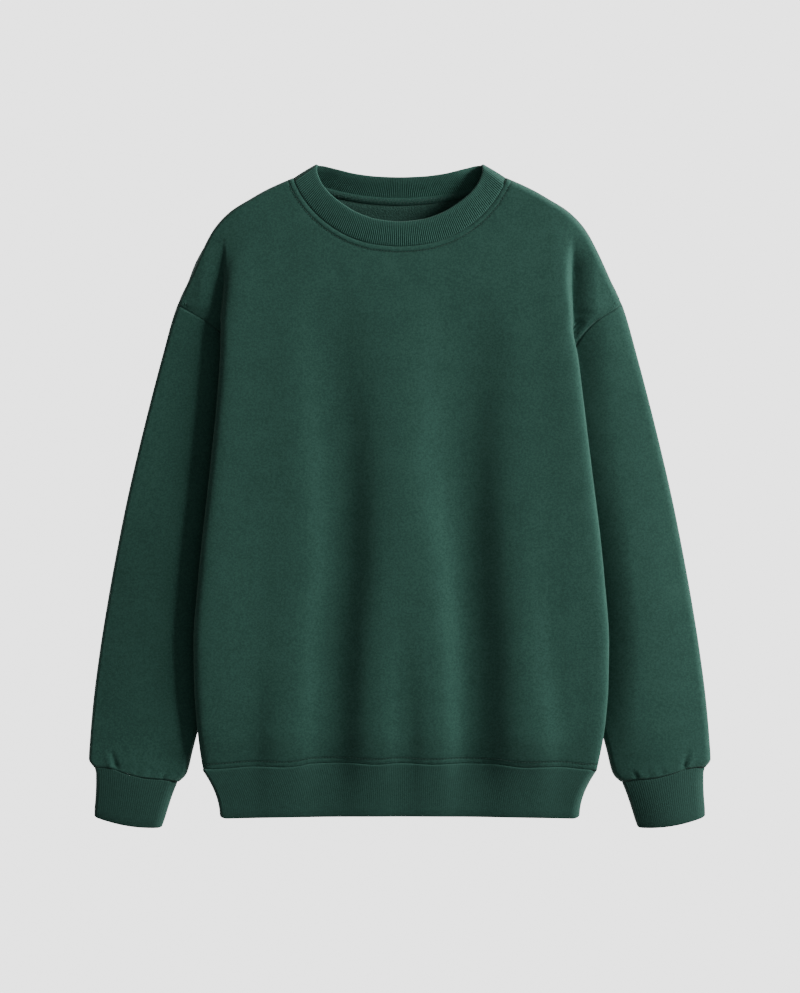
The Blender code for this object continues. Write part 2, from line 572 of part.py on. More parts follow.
def make_collar(neckline, collection):
    """The collar: a ring of rib, creased at both shoulders. Its front half lies over its back half.

    Its front seam follows the panel's neckline, corner for corner."""
    t = np.linspace(0, 2, 2401)
    from_crease = np.minimum(t, 2 - t)
    lines = []
    for end in ("seam", "edge"):
        front = collar_plan(FRONT_COLLAR, end, t)
        back = collar_plan(BACK_COLLAR, end, t)
        roll = quarter(from_crease / 0.16)
        if end == "seam":
            front = follow(neckline, front)
        z = rim_height(np.abs(front[:, 0]), front[:, 1])
        if end == "edge":
            z = COLLAR_SIDE_Z + (COLLAR_FRONT_Z - COLLAR_SIDE_Z) * ease(from_crease / 0.55)
        top = np.column_stack((front, COLLAR_TURN + (z - COLLAR_TURN) * roll))
        low = COLLAR_TURN - (COLLAR_TURN - RIB / 2) * quarter(from_crease / 0.06)
        under = np.column_stack((back, low))
        lines.append((top, under[np.searchsorted(t, 2 * COLLAR_UNDER)]))
    (top_seam, under_seam), (top_edge, under_edge) = lines
    lift = top_edge - top_seam
    top_seam = top_seam + lift / np.linalg.norm(lift, axis=1, keepdims=True) * MIDDLE_GAP
    lift = under_edge - under_seam
    under_seam = under_seam + lift / np.linalg.norm(lift, axis=1, keepdims=True) * SEAM_GAP
    count = 2 * COLLAR_RIBS + 1
    seam = np.concatenate((even_columns(top_seam, count), under_seam[::-1]))
    edge = np.concatenate((even_columns(top_edge, count), under_edge[::-1]))
    return add_ribbed("collar", seam, edge, count, collection, RIB_FINISH)


def mirrored(half_outline):
    """A closed outline from its right half, which runs from the middle top to the middle bottom."""
    left = [(-x, y) for x, y in half_outline[::-1] if abs(x) > 1e-6]
    return list(half_outline) + left


def make_back(collection):
    """The back panel: one flat piece under everything else."""
    t = np.concatenate(([1.0], 2 * COLLAR_UNDER[COLLAR_UNDER > 0.5], [2.0]))
    seam, edge = (collar_plan(BACK_COLLAR, end, t) for end in ("seam", "edge"))
    lift = edge - seam
    neck = seam - lift / np.linalg.norm(lift, axis=1, keepdims=True) * SEAM_GAP / 2
    shoulder_y = np.array((343, 335, 324, 313, 302, 292, 281, 270, 259, 248, 237, 226, 217.5))
    shoulder = np.column_stack((along(OUTER, "y", shoulder_y, "half") - 0.4, shoulder_y))
    arm = np.array(((SHOULDER_HALF - 3.6, SHOULDER_Y - 1), (UNDERARM_HALF - 1.6, UNDERARM_Y)))
    side_y = np.array((84, 60, 30, 0, -40, -90, -125, -160, -208, -240, -255, -265, -282, -296.5))
    side = np.column_stack((along(TORSO, "y", side_y, "inner") + 1.1, side_y))
    hem_x = np.array((205, 190, 175, 160, 145, 130, 115, 100))
    hem = np.column_stack((hem_x, hem_seam(hem_x)))
    half = np.concatenate((neck, shoulder, arm, side, hem))
    return add_flat("back_panel", mirrored([tuple(p) for p in half]), 0, FLEECE, collection, FLEECE_FINISH)


def make_tape(collection):
    """The neck tape: a narrow strip over the seam between back panel and collar."""
    line = collar_line(BACK_COLLAR, "seam", np.linspace(0.22, 1.78, 33))
    ahead = np.gradient(line, axis=0)
    across = np.column_stack((-ahead[:, 1], ahead[:, 0]))
    across *= TAPE_WIDTH / 2 / np.linalg.norm(across, axis=1, keepdims=True)
    outline = np.concatenate((line + across, (line - across)[::-1]))
    return add_flat("neck_tape", outline, RIB + SEAM_GAP, TAPE, collection, TAPE_FINISH)


def main():
    clear_scene()
    collection = bpy.data.collections.new("crewneck_sweatshirt")
    bpy.context.scene.collection.children.link(collection)
    front = front_points()
    add_cloth("front_panel", front, collection, FLEECE_FINISH)
    make_back(collection)
    armhole = front[front[:, -1, 1] > UNDERARM_Y - 12, -1]
    neckline = front[-1, np.abs(front[-1, :, 0]) <= NECK_HALF + 0.1]
    for side, hand in ((-1, "left"), (1, "right")):
        sleeve = sleeve_points(side, armhole)
        add_cloth("sleeve_" + hand, sleeve, collection, FLEECE_FINISH, closed=True, flip=side < 0)
        make_cuff("cuff_" + hand, side, collection)
    make_collar(neckline, collection)
    make_tape(collection)
    make_hem(collection)


if __name__ == "__main__":
    main()
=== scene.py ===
# %% [markdown]
# # A crewneck sweatshirt, laid flat
#
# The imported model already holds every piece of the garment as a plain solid: front and back
# panel, two sleeves, collar, neck tape, hem rib and two cuffs. This script dresses them. Each
# piece is worked out again as a fine surface of the same form, with real ribs, sewn lines,
# small gathers and a knitted finish.
#
# All shapes are functions of two parameters, computed on whole grids with numpy. Lengths are
# in millimetres while a shape is worked out and become metres when its mesh is made. x runs to
# the right, y from the hem to the neck and z up. Left and right are -1 and 1 where a table or a
# size differs by side.

import bpy
import numpy as np
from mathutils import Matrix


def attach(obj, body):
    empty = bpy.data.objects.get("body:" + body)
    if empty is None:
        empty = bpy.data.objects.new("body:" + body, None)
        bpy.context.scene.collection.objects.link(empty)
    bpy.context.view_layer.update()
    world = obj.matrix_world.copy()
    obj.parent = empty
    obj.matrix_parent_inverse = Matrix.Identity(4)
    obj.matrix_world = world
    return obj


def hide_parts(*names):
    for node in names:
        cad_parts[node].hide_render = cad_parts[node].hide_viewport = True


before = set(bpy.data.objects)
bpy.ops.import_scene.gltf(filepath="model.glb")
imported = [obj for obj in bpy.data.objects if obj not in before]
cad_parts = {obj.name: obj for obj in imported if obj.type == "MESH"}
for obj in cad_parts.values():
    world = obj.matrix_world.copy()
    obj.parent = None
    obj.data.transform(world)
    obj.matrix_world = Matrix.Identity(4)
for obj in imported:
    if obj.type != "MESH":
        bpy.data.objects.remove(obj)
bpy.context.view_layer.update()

MM = 0.001
print("nodes in the frame:", sorted(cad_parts))

# %% [markdown]
# ## Sizes
#
# The garment's outline is given by a few measured half widths against the height on the
# garment, as a pattern cutter would note them. Each small table names its columns, and smooth
# curves run between the rows, so the tables stay short.

# %% Driving sizes, in millimetres
FLEECE = 2.2            # wall of the body and sleeves
RIB = 3.0               # doubled rib knit of collar, cuffs and hem
RIB_PITCH = 2.4         # one knit rib and its groove
SEAM_GAP = 0.3          # between two pieces that are sewn together
TAPE_WIDTH = 8.2
TAPE = 0.75             # how far the neck tape domes up

NECK_HALF = 116.3       # from the middle to the point where collar and shoulder meet
NECK_POINT_Y = 347.8
SHOULDER_Y = 209.5      # where the armhole seam meets the garment's outer edge
UNDERARM_Y = 89.2       # where armhole seam, side seam and sleeve seam meet
UNDERARM_HALF = 150.6
HEM_SEAM_Y = -291.5
HEM_SEAM_DROP = 6.5     # the hem seam sits this much lower at the sides
HEM_SEAM_FLAT = 100.0   # and starts to drop this far from the middle
HEM_EDGE_Y = -351.0
HEM_SEAM_HALF = 215.4
HEM_EDGE_HALF = 196.6

STRIP_HEIGHT = 10.2     # the front's folded strip, over the sleeve
STRIP_AT_HEM = 7.4
SLEEVE_UNDER = 6.0      # top layer of the sleeve where the torso covers it
SIDE_SEAM_HEIGHT = FLEECE + 0.9     # the front's last line, on the back panel
SHOULDER_LOW = 2.2      # the front's rolled end meets the back panel's top here
NECK_LIFT = 5.3         # and lies this much higher at the neck, over the collar's seam
ROLL = {-1: 2.6, 1: 6.0}    # width of the roll at the outer edge, left (-1) and right (1)
TOPSTITCH = 6.6         # the sewn line beside the hem and neck seams lies this far from them


def table(names, rows):
    """Columns by name, from rows that are sorted by their first column."""
    return dict(zip(names, np.array(rows, dtype=float).T))


print("from the neck point to the hem:", NECK_POINT_Y - HEM_EDGE_Y, "mm")


# %% The outline's tables
# The garment's outer edge from the cuff seam up to the neck point.
OUTER = table(("y", "half"), (
    (-294.6, 334.8), (-291.0, 338.0), (-287.0, 339.8), (-266.0, 338.6), (-223.0, 334.8),
    (-168.0, 327.7), (-113.0, 318.9), (-59.0, 309.1), (-4.0, 298.1), (51.0, 285.5),
    (106.0, 271.9), (160.0, 257.6), (204.0, 245.0), (237.0, 230.3), (259.0, 220.4),
    (281.0, 209.5), (292.0, 202.9), (302.0, 194.7), (313.0, 182.7), (324.0, 164.9),
    (335.3, 145.2), (347.8, 116.3)))

# The torso's visible edge, how far the torso lies to the right of the middle,
# and how far in the folded strip runs under it.
TORSO = table(("y", "edge", "shift", "inner"), (
    (-297.0, 214.6, 0.4, 206.0), (-285.0, 217.0, 0.6, 209.0), (-265.0, 220.2, 1.2, 214.0),
    (-240.0, 223.0, 1.6, 215.0), (-208.0, 225.2, 1.8, 209.6), (-160.0, 226.0, 1.8, 199.8),
    (-90.0, 221.0, 1.8, 185.6), (-40.0, 216.0, 1.8, 175.6), (0.0, 211.2, 1.6, 167.2),
    (60.0, 204.2, 1.1, 154.0), (89.2, 201.0, 0.8, 147.7), (130.0, 196.8, 0.0, 156.0),
    (177.0, 192.4, -1.0, 168.0), (202.0, 189.4, -1.2, 172.0), (235.0, 187.0, -1.0, 177.0),
    (285.0, 188.0, -0.4, 181.0), (348.0, 188.0, 0.0, 181.0)))

# The sleeve's inner edge, hidden under the torso down to y = -255.
SLEEVE_INNER = table(("y", "half"), (
    (-310.5, 241.6), (-305.0, 235.6), (-299.8, 232.7), (-278.4, 227.3), (-255.4, 221.6),
    (-208.0, 212.5), (-160.0, 202.7), (-90.0, 188.5), (-40.0, 178.5), (0.0, 170.1),
    (60.0, 156.9), (89.2, 150.6)))

# The armhole seams on the front, left (-1) and right (1), from the underarm to the outer edge.
ARMHOLE = {
    -1: table(("y", "half"), (
        (89.2, 150.6), (130.0, 171.0), (160.0, 184.5), (176.8, 192.5), (185.9, 203.4),
        (195.0, 217.4), (202.3, 230.0), (209.5, 243.6))),
    1: table(("y", "half"), (
        (89.2, 150.6), (130.0, 172.0), (152.0, 184.5), (169.0, 194.8), (180.0, 202.6),
        (189.8, 212.4), (198.0, 224.0), (204.4, 234.6), (209.5, 243.6)))}

# The collar's seam and its free edge, by the share of the way from crease to middle.
FRONT_COLLAR = table(("share", "seam_x", "seam_y", "edge_x", "edge_y"), (
    (0.00, 116.3, 347.8, 90.4, 363.6), (0.10, 110.6, 335.2, 90.0, 355.4),
    (0.22, 101.2, 320.4, 86.6, 344.6), (0.35, 88.4, 306.0, 79.0, 333.2),
    (0.50, 69.6, 291.4, 64.8, 320.8), (0.66, 47.2, 280.2, 45.0, 308.6),
    (0.82, 24.6, 274.6, 23.6, 301.6), (1.00, 0.0, 272.6, 0.0, 299.2)))
BACK_COLLAR = table(("share", "seam_x", "seam_y", "edge_x", "edge_y"), (
    (0.00, 116.3, 347.8, 90.4, 363.6), (0.25, 89.0, 336.0, 69.0, 357.6),
    (0.50, 59.6, 328.2, 46.8, 352.2), (0.75, 29.8, 323.6, 23.4, 349.4),
    (1.00, 0.0, 322.0, 0.0, 348.6)))

# The back panel's half width, from the hem up its side seam, armhole and shoulder.
BACK_HALF = table(("y", "half"), (
    (-297.0, 206.5), (-282.0, 211.0), (-265.0, 215.1), (-240.0, 216.1), (-208.0, 210.7),
    (-160.0, 200.9), (-90.0, 186.7), (-40.0, 176.7), (0.0, 168.3), (60.0, 155.1),
    (84.0, 149.9), (89.2, 149.0), (208.5, 240.0), (217.5, 240.4), (237.0, 229.9),
    (259.0, 220.0), (281.0, 209.1), (292.0, 202.5), (302.0, 194.3), (313.0, 182.3),
    (324.0, 164.5), (335.3, 144.8), (347.4, 116.3)))

# The cuff's outer and inner side, from its seam to its free end.
CUFF = table(("share", "outer_x", "outer_y", "inner_x", "inner_y"), (
    (0.00, 333.4, -295.3, 242.6, -311.2), (0.15, 331.6, -303.4, 246.6, -320.4),
    (0.40, 331.6, -317.6, 250.8, -332.0), (0.70, 332.6, -334.0, 254.9, -345.8),
    (0.95, 333.8, -347.6, 258.6, -358.8), (1.00, 333.2, -350.0, 260.4, -362.2)))
CUFF_BOW = 3.8          # the free end curves out this far between its corners
CUFF_LOW = {-1: 8.6, 1: 7.2}    # height at a cuff's sides,
CUFF_DOME = {-1: 1.6, 1: 4.6}   # and how far its middle domes up

# The sleeve's top beside the torso, by side: height and width of its rise and its fall to the
# outer edge, each at the arm and what is added lower down, and the power of the fall.
SLEEVE_TOP = {-1: ((6.0, 0.0), (30.0, 0.0), (1.0, 3.6), 1.4),
              1: ((4.4, 3.3), (34.0, 4.0), (3.0, 3.0), 1.8)}
SLEEVE_RISE_RUN = 30.0          # the fall starts this far outside the torso's edge

# Sewn lines are never quite straight: how far the hem seam lies above its even line, and the
# cuff seam above the straight run from its outer to its inner end.
HEM_WAVE = table(("x", "up"), (
    (-217, 0.0), (-166, 1.0), (-148, -0.6), (-122, -3.2), (-110, -2.4), (-96, 0.0), (-61, 1.0),
    (-26, -0.8), (0, 0.9), (35, -0.8), (70, 0.2), (100, -0.3), (132, -2.4), (158, 0.0),
    (178, 1.6), (200, 0.3), (217, -0.6)))
CUFF_WAVE = table(("share", "up"), (
    (0.0, 0.0), (0.2, 1.8), (0.3, 0.0), (0.42, -1.5), (0.6, -2.4), (0.8, -0.8), (1.0, 0.0)))
print("across the cuffs:", 2 * float(OUTER["half"].max()), "mm")

# %% [markdown]
# ## Folds of the lower front
#
# Below the chest the cloth falls in long soft folds that start at nothing and grow towards the
# hem. A fold has a rising and a falling side, and each side is a soft step,
# slope * width * tanh((x - place) / width). Adding the steps gives the whole set of folds, and
# a slow even slope takes the last height back to the first.

# %% Folds
# Soft steps from left to right. Each has its place, its steepest slope (up is positive) and
# its half width by height on the garment.
FOLD_STEPS = tuple(table(("y", "place", "slope", "width"), rows) for rows in (
    ((-260, -149, 0.14, 10), (-150, -145, 0.03, 10), (-60, -145, 0.0, 10)),
    ((-260, -102, -0.17, 13), (-150, -99, -0.18, 11), (-60, -90, -0.18, 13), (40, -93, -0.15, 16),
     (150, -97, -0.08, 16)),
    ((-260, -54, 0.28, 15), (-150, -50, 0.31, 17), (-60, -43, 0.29, 18), (40, -42, 0.19, 18),
     (150, -47, 0.09, 20)),
    ((-260, -11, -0.15, 10), (-150, -12, -0.04, 10), (-60, -12, 0.0, 10)),
    ((-260, 18, 0.14, 8), (-150, 14, 0.03, 8), (-60, 14, 0.0, 8)),
    ((-260, 57, -0.28, 11), (-150, 53, -0.28, 12), (-60, 45, -0.25, 15), (40, 32, -0.19, 20),
     (150, 33, -0.09, 24)),
    ((-260, 103, 0.30, 20), (-150, 100, 0.31, 22), (-60, 95, 0.29, 22), (40, 94, 0.20, 20),
     (150, 103, 0.10, 20)),
    ((-260, 165, -0.24, 14), (-150, 151, -0.12, 14), (-60, 148, -0.04, 14), (40, 148, -0.02, 14),
     (150, 148, 0.0, 14))))
TORSO_HALF = 225.0

# How strongly the folds show, and how high the front lies, by height on the garment.
FRONT_HEIGHT = table(("y", "fold", "height"), (
    (-352.0, 0.20, 9.2), (-321.0, 0.30, 11.6), (-300.0, 0.50, 13.6), (-285.0, 0.80, 15.0),
    (-260.0, 1.0, 17.6), (-157.0, 1.0, 21.0), (-26.0, 1.0, 22.0), (106.0, 1.0, 22.0),
    (150.0, 1.0, 21.8), (193.0, 0.6, 21.0), (250.0, 0.0, 18.5), (348.0, 0.0, 14.0)))


# %% Height of the front
def along(tab, key, at, value):
    """Smooth value of a table's column: cubic pieces that never overshoot, because the slope
    at a row is the harmonic mean of the two steps beside it, or 0 where they turn."""
    x, y = tab[key], tab[value]
    step = np.diff(y) / np.diff(x)
    same = step[1:] * step[:-1] > 0
    inner = np.where(same, 2 * step[1:] * step[:-1] / np.where(same, step[1:] + step[:-1], 1), 0)
    slope = np.concatenate(([step[0]], inner, [step[-1]]))
    at = np.clip(at, x[0], x[-1])
    i = np.clip(np.searchsorted(x, at) - 1, 0, len(x) - 2)
    width = x[i + 1] - x[i]
    t = (at - x[i]) / width
    return ((1 + 2 * t) * (1 - t) ** 2 * y[i] + t * (1 - t) ** 2 * width * slope[i]
            + t * t * (3 - 2 * t) * y[i + 1] + t * t * (t - 1) * width * slope[i + 1])


def folds(x, y):
    """Height of the long folds: slope times width times tanh((x - place) / width) for each
    step, less an even slope that brings the last height back to the first."""
    total, rise = 0, 0
    for step in FOLD_STEPS:
        place, slope, width = (along(step, "y", y, name) for name in ("place", "slope", "width"))
        total = total + slope * width * (np.tanh((x - place) / width)
                                         - np.tanh((-TORSO_HALF - place) / width))
        rise = rise + 2 * slope * width
    return total - rise * (x + TORSO_HALF) / (2 * TORSO_HALF)


SIDE_FROM = 140.0       # from here on the front rises a little towards its folded sides
SIDE_RUN = {-1: 80.0, 1: 48.0}
SIDE_RISE = {-1: 2.3, 1: 0.9}


def front_height(x, y):
    """Height of the front panel's top layer: its general height, a slight smooth rise towards
    the folded sides that fades at shoulder and hem, and the folds."""
    run, rise = (np.where(x < 0, sides[-1], sides[1]) for sides in (SIDE_RUN, SIDE_RISE))
    side = np.clip((np.abs(x) - SIDE_FROM) / run, 0, 1)
    share = np.clip((290 - y) / 50, 0, 1) * np.clip((y + 330) / 60, 0, 1)
    return (along(FRONT_HEIGHT, "y", y, "height") + rise * side * side * (3 - 2 * side) * share
            + along(FRONT_HEIGHT, "y", y, "fold") * folds(x, y))


sample_x = np.linspace(-200, 200, 9)
print("front height along y = -150:", front_height(sample_x, np.full(9, -150.0)).round(1))

# %% [markdown]
# ## Curves that several pieces share
#
# Easing, a quarter circle for rolled edges, a spline for the fold at the torso's side, and the
# distance from the garment's outer edge. The front panel, the sleeves and the collar all use
# them, so the pieces meet where they are sewn.

# %% Shared curves
def ease(t):
    """Smooth step from 0 to 1 as t goes from 0 to 1: t squared times (3 - 2t)."""
    t = np.clip(t, 0.0, 1.0)
    return t * t * (3 - 2 * t)


def quarter(t):
    """Quarter circle: rises steeply from 0 at t = 0 and is flat at 1 from t = 1 on."""
    return np.sqrt(np.clip(1 - (1 - np.clip(t, 0.0, 1.0)) ** 2, 0.0, 1.0))


def rolled(share, width, first, last):
    """A quarter circle at each end of a width: 0 at its ends and 1 between the two rolls."""
    return quarter(share * width / first) * quarter((1 - share) * width / last)


def unit(vectors):
    """Vectors brought to length 1."""
    return vectors / np.linalg.norm(vectors, axis=-1, keepdims=True)


def spline(points, at):
    """Uniform cubic B-spline through its end points; at runs from 0 to n - 1."""
    first = 2 * points[..., :1, :] - points[..., 1:2, :]
    last = 2 * points[..., -1:, :] - points[..., -2:-1, :]
    net = np.concatenate((first, points, last), axis=-2)
    i = np.clip(np.floor(at).astype(int), 0, points.shape[-2] - 2)
    t = at - i
    weights = ((1 - t) ** 3, 3 * t ** 3 - 6 * t ** 2 + 4,
               -3 * t ** 3 + 3 * t ** 2 + 3 * t + 1, t ** 3)
    total = 0
    for k, weight in enumerate(weights):
        picked = np.take_along_axis(net, (i + k)[..., None, None], axis=-2)[..., 0, :]
        total = total + picked * weight[..., None] / 6
    return total


# %% The garment's outer edge
def outer_half(y):
    """Half width of the wall's middle at the garment's outer edge."""
    lean = (along(OUTER, "y", y + 2, "half") - along(OUTER, "y", y - 2, "half")) / 4
    return along(OUTER, "y", y, "half") - FLEECE / 2 * np.hypot(1, lean)


def distance_to(line, x, y):
    """Shortest distance in plan from each point to a line of straight runs."""
    p = np.stack((np.asarray(x, float), np.asarray(y, float)), axis=-1)
    best = np.full(p.shape[:-1], np.inf)
    for start, end in zip(line[:-1], line[1:]):
        run = end - start
        t = np.clip(((p - start) @ run) / (run @ run), 0, 1)
        best = np.minimum(best, np.linalg.norm(p - start - t[..., None] * run, axis=-1))
    return best


OUTER_Y = np.linspace(OUTER["y"][0], OUTER["y"][-1], 181)
OUTER_LINE = np.column_stack((along(OUTER, "y", OUTER_Y, "half"), OUTER_Y))
EDGE_SLACK = 0.04       # a point this near the edge counts as on it


def edge_distance(half, y):
    """Distance inwards from where the wall's middle lies at the garment's outer edge."""
    return np.maximum(distance_to(OUTER_LINE, half, y) - FLEECE / 2 - EDGE_SLACK, 0)


# %% Seams and heights that pieces share
def seam_low(half):
    """Height of the front panel's end along the shoulder, from its tip in to the neck."""
    return SHOULDER_LOW + NECK_LIFT * ease((150 - half) / 30)


def hem_seam(x):
    """The hem seam: straight in the middle and lower towards the sides, with its slight waves."""
    return (HEM_SEAM_Y - HEM_SEAM_DROP * ease((np.abs(x) - HEM_SEAM_FLAT) / 110)
            + along(HEM_WAVE, "x", x, "up"))


def cuff_height(across, side):
    """Height of a cuff's top: a low dome, fuller on the right, by the share of its width."""
    return CUFF_LOW[side] + CUFF_DOME[side] * 4 * across * (1 - across)


def sleeve_height(half, y, side):
    """Height of the sleeve's top layer: low under the torso, a quick rise beside it as a
    quarter sine, then a slow fall to the outer edge as a power of the way there. In the last
    55 mm it blends into the cuff's height and 0.6 mm more."""
    *pairs, power = SLEEVE_TOP[side]
    edge = along(TORSO, "y", y, "edge")
    out = half - edge + 1
    lower = ease((80 - y) / 200)
    high, wide, deep = (at_arm + added * lower for at_arm, added in pairs)
    rise = high * np.sin(np.clip(out / wide, 0, 1) * np.pi / 2)
    fall_run = np.maximum(outer_half(y) - edge - SLEEVE_RISE_RUN, 25)
    fall = deep * np.clip((out - SLEEVE_RISE_RUN) / fall_run, 0, 1) ** power
    at_cuff = ease((-240 - y) / 55)
    inner = along(SLEEVE_INNER, "y", y, "half")
    across = np.clip((outer_half(y) - half) / (outer_half(y) - inner), 0, 1)
    sleeve = (SLEEVE_UNDER + rise - fall) * (1 - at_cuff)
    return sleeve + (cuff_height(across, side) + 0.6) * at_cuff


print("torso's edge at y = 0:", float(along(TORSO, "y", np.array(0.0), "edge")), "mm")

# %% [markdown]
# ## Meshes from grids
#
# A piece of cloth is a grid of points through the middle of its wall, and a Solidify modifier
# gives it its thickness on both sides. The grid also carries a UV map in metres along the
# cloth, so that the knit follows the surface, and named numbers on its points, such as the
# distance from a seam, which the material turns into a pressed seam with painted shade in it.

# %% From grids to objects
garment = bpy.data.collections.new("sweatshirt")
bpy.context.scene.collection.children.link(garment)


def grid_faces(rows, columns, closed_rows=False, closed_columns=False):
    """Corner numbers of a grid's quads, as an array of shape (quads, 4)."""
    j = np.arange(rows if closed_rows else rows - 1)[:, None]
    i = np.arange(columns if closed_columns else columns - 1)[None, :]
    up, right = (j + 1) % rows, (i + 1) % columns
    corners = (j * columns + i, j * columns + right, up * columns + right, up * columns + i)
    return np.stack(np.broadcast_arrays(*corners), axis=-1).reshape(-1, 4)


def make_mesh(name, points, faces, uv=None, marks=None, flip=False):
    """A mesh from points in millimetres and quads, with a UV for every point and named numbers."""
    if flip:
        faces = faces[:, ::-1]
    points = points.reshape(-1, 3)
    mesh = bpy.data.meshes.new(name)
    mesh.vertices.add(len(points))
    mesh.vertices.foreach_set("co", (points * MM).astype(np.float32).ravel())
    mesh.loops.add(faces.size)
    mesh.loops.foreach_set("vertex_index", faces.astype(np.int32).ravel())
    mesh.polygons.add(len(faces))
    mesh.polygons.foreach_set("loop_start", np.arange(0, faces.size, 4, dtype=np.int32))
    mesh.update(calc_edges=True)
    if uv is not None:
        layer = mesh.uv_layers.new(name="cloth")
        corner_uv = uv.reshape(-1, 2)[faces.ravel()] * MM
        layer.data.foreach_set("uv", corner_uv.astype(np.float32).ravel())
    for mark, values in (marks or {}).items():
        attribute = mesh.attributes.new(mark, "FLOAT", "POINT")
        attribute.data.foreach_set("value", np.asarray(values, np.float32).ravel())
    mesh.shade_smooth()
    return mesh


# %% Objects, walls and flat sizes
def add_piece(name, mesh, material):
    """An object of the garment that rides on its one body."""
    piece = bpy.data.objects.new(name, mesh)
    garment.objects.link(piece)
    mesh.materials.append(material)
    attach(piece, "root")
    return piece


def add_wall(piece, thickness=FLEECE):
    """The wall of a cloth piece, half to each side of its surface."""
    wall = piece.modifiers.new("wall", "SOLIDIFY")
    wall.thickness = thickness * MM
    wall.offset = 0.0
    return piece


def arc(points, axis):
    """Distance along a grid's lines, in millimetres, from their first point."""
    step = np.linalg.norm(np.diff(points, axis=axis), axis=-1)
    return np.concatenate((np.zeros_like(np.take(step, [0], axis)), np.cumsum(step, axis)), axis)


def cut_size(points):
    """Flat size of a grid's cloth: its widest and longest run and its area, in metres."""
    width = arc(points, 1)[:, -1].max() * MM
    length = arc(points, 0)[-1].max() * MM
    across = points[1:, 1:] - points[:-1, :-1]
    other = points[1:, :-1] - points[:-1, 1:]
    area = np.linalg.norm(np.cross(across, other), axis=-1).sum() / 2 * MM * MM
    return (round(float(width), 3), round(float(length), 3)), round(float(area), 4)


def declare(piece, points, length=None):
    """Works out what was cut for this piece, and prints it."""
    flat, area = cut_size(points)
    flat = (flat[0], max(length or flat[1], 0.01))
    area = min(area, flat[0] * flat[1])
    print(f"{piece.name}: cut {flat[0] / MM:.0f} x {flat[1] / MM:.0f} mm, {area:.4f} square metres")


# %% [markdown]
# ## Knitted finishes
#
# All the cloth is one yarn colour. Loopback fleece shows fine stitches on its face, in upright
# rows like little V shapes, with a slightly mottled colour and a soft nap that catches light at
# a grazing angle. The rib is the same yarn, with painted shade in its grooves; the fleece has
# painted shade in its seams and over its looped inside. The stitches and the mottling are node
# groups that every material shares, each with its own sizes.

# %% Node helpers
def add_node(tree, kind, values=None, **settings):
    """A shader node with its settings; values sets or links inputs by name or number."""
    node = tree.nodes.new(kind)
    for name, value in settings.items():
        setattr(node, name, value)
    for key, value in (values or {}).items():
        if isinstance(value, bpy.types.NodeSocket):
            tree.links.new(value, node.inputs[key])
        else:
            node.inputs[key].default_value = value
    return node


def do_math(tree, operation, *values):
    """The result socket of one Math node."""
    return add_node(tree, "ShaderNodeMath", dict(enumerate(values)), operation=operation).outputs[0]


def new_group(name, inputs, outputs):
    """An empty node group with float sockets, but for inputs whose name is Place."""
    group = bpy.data.node_groups.new(name, "ShaderNodeTree")
    for label, value in inputs.items():
        kind = "NodeSocketVector" if label == "Place" else "NodeSocketFloat"
        socket = group.interface.new_socket(label, in_out="INPUT", socket_type=kind)
        if label != "Place":
            socket.default_value = value
    for label in outputs:
        group.interface.new_socket(label, in_out="OUTPUT", socket_type="NodeSocketFloat")
    return group, group.nodes.new("NodeGroupInput"), group.nodes.new("NodeGroupOutput")


def use_group(tree, group, **values):
    """A node that places a group, with its inputs set or linked."""
    return add_node(tree, "ShaderNodeGroup", values, node_tree=group)


# %% Noise, bumps and mixed colours
def add_noise(tree, place, scale, detail, roughness=0.5):
    """The value socket of a Noise node."""
    return add_node(tree, "ShaderNodeTexNoise", {"Vector": place, "Scale": scale, "Detail": detail,
                                                 "Roughness": roughness}).outputs[0]


def stretch(tree, value, *limits):
    """A value's range, low and high, taken to a new range: 0 to 1 unless two more are given."""
    return add_node(tree, "ShaderNodeMapRange", dict(enumerate((value, *limits)))).outputs[0]


def add_bump(tree, height, strength, distance, **under):
    """The normal of a Bump node, laid over the one given as Normal when there is one. The
    distance is the relief's height in metres."""
    values = {"Height": height, "Strength": strength, "Distance": distance, **under}
    return add_node(tree, "ShaderNodeBump", values).outputs[0]


def mix_colours(tree, share, dark, light):
    """Colour between two colours or colour sockets, by a share from 0 to 1."""
    values = {0: share, 6: dark, 7: light}
    return add_node(tree, "ShaderNodeMix", values, data_type="RGBA").outputs[2]


# %% The knit face as a node group
def make_knit_face():
    """Height of a knitted face: in each wale, V shapes one above the other.

    With a the distance from the wale's middle (0 to 1), the height is
    (0.5 + 0.5 cos(2 pi (v / course + 0.45 a))) (1 - a squared)."""
    group, given, result = new_group("knit_face", {"Place": 0, "Wale": 0.0011, "Course": 0.0008},
                                     ("Height",))
    split = add_node(group, "ShaderNodeSeparateXYZ", {0: given.outputs["Place"]})
    wale = do_math(group, "DIVIDE", split.outputs[0], given.outputs["Wale"])
    wale = do_math(group, "FRACT", wale)
    away = do_math(group, "ABSOLUTE", do_math(group, "MULTIPLY_ADD", wale, 2.0, -1.0))
    course = do_math(group, "DIVIDE", split.outputs[1], given.outputs["Course"])
    turn = do_math(group, "MULTIPLY", do_math(group, "MULTIPLY_ADD", away, 0.45, course), 2 * np.pi)
    loop = do_math(group, "MULTIPLY_ADD", do_math(group, "COSINE", turn), 0.5, 0.5)
    dome = do_math(group, "SUBTRACT", 1.0, do_math(group, "MULTIPLY", away, away))
    group.links.new(do_math(group, "MULTIPLY", loop, dome), result.inputs["Height"])
    return group


knit_face = make_knit_face()
print("group:", knit_face.name, [item.name for item in knit_face.interface.items_tree])


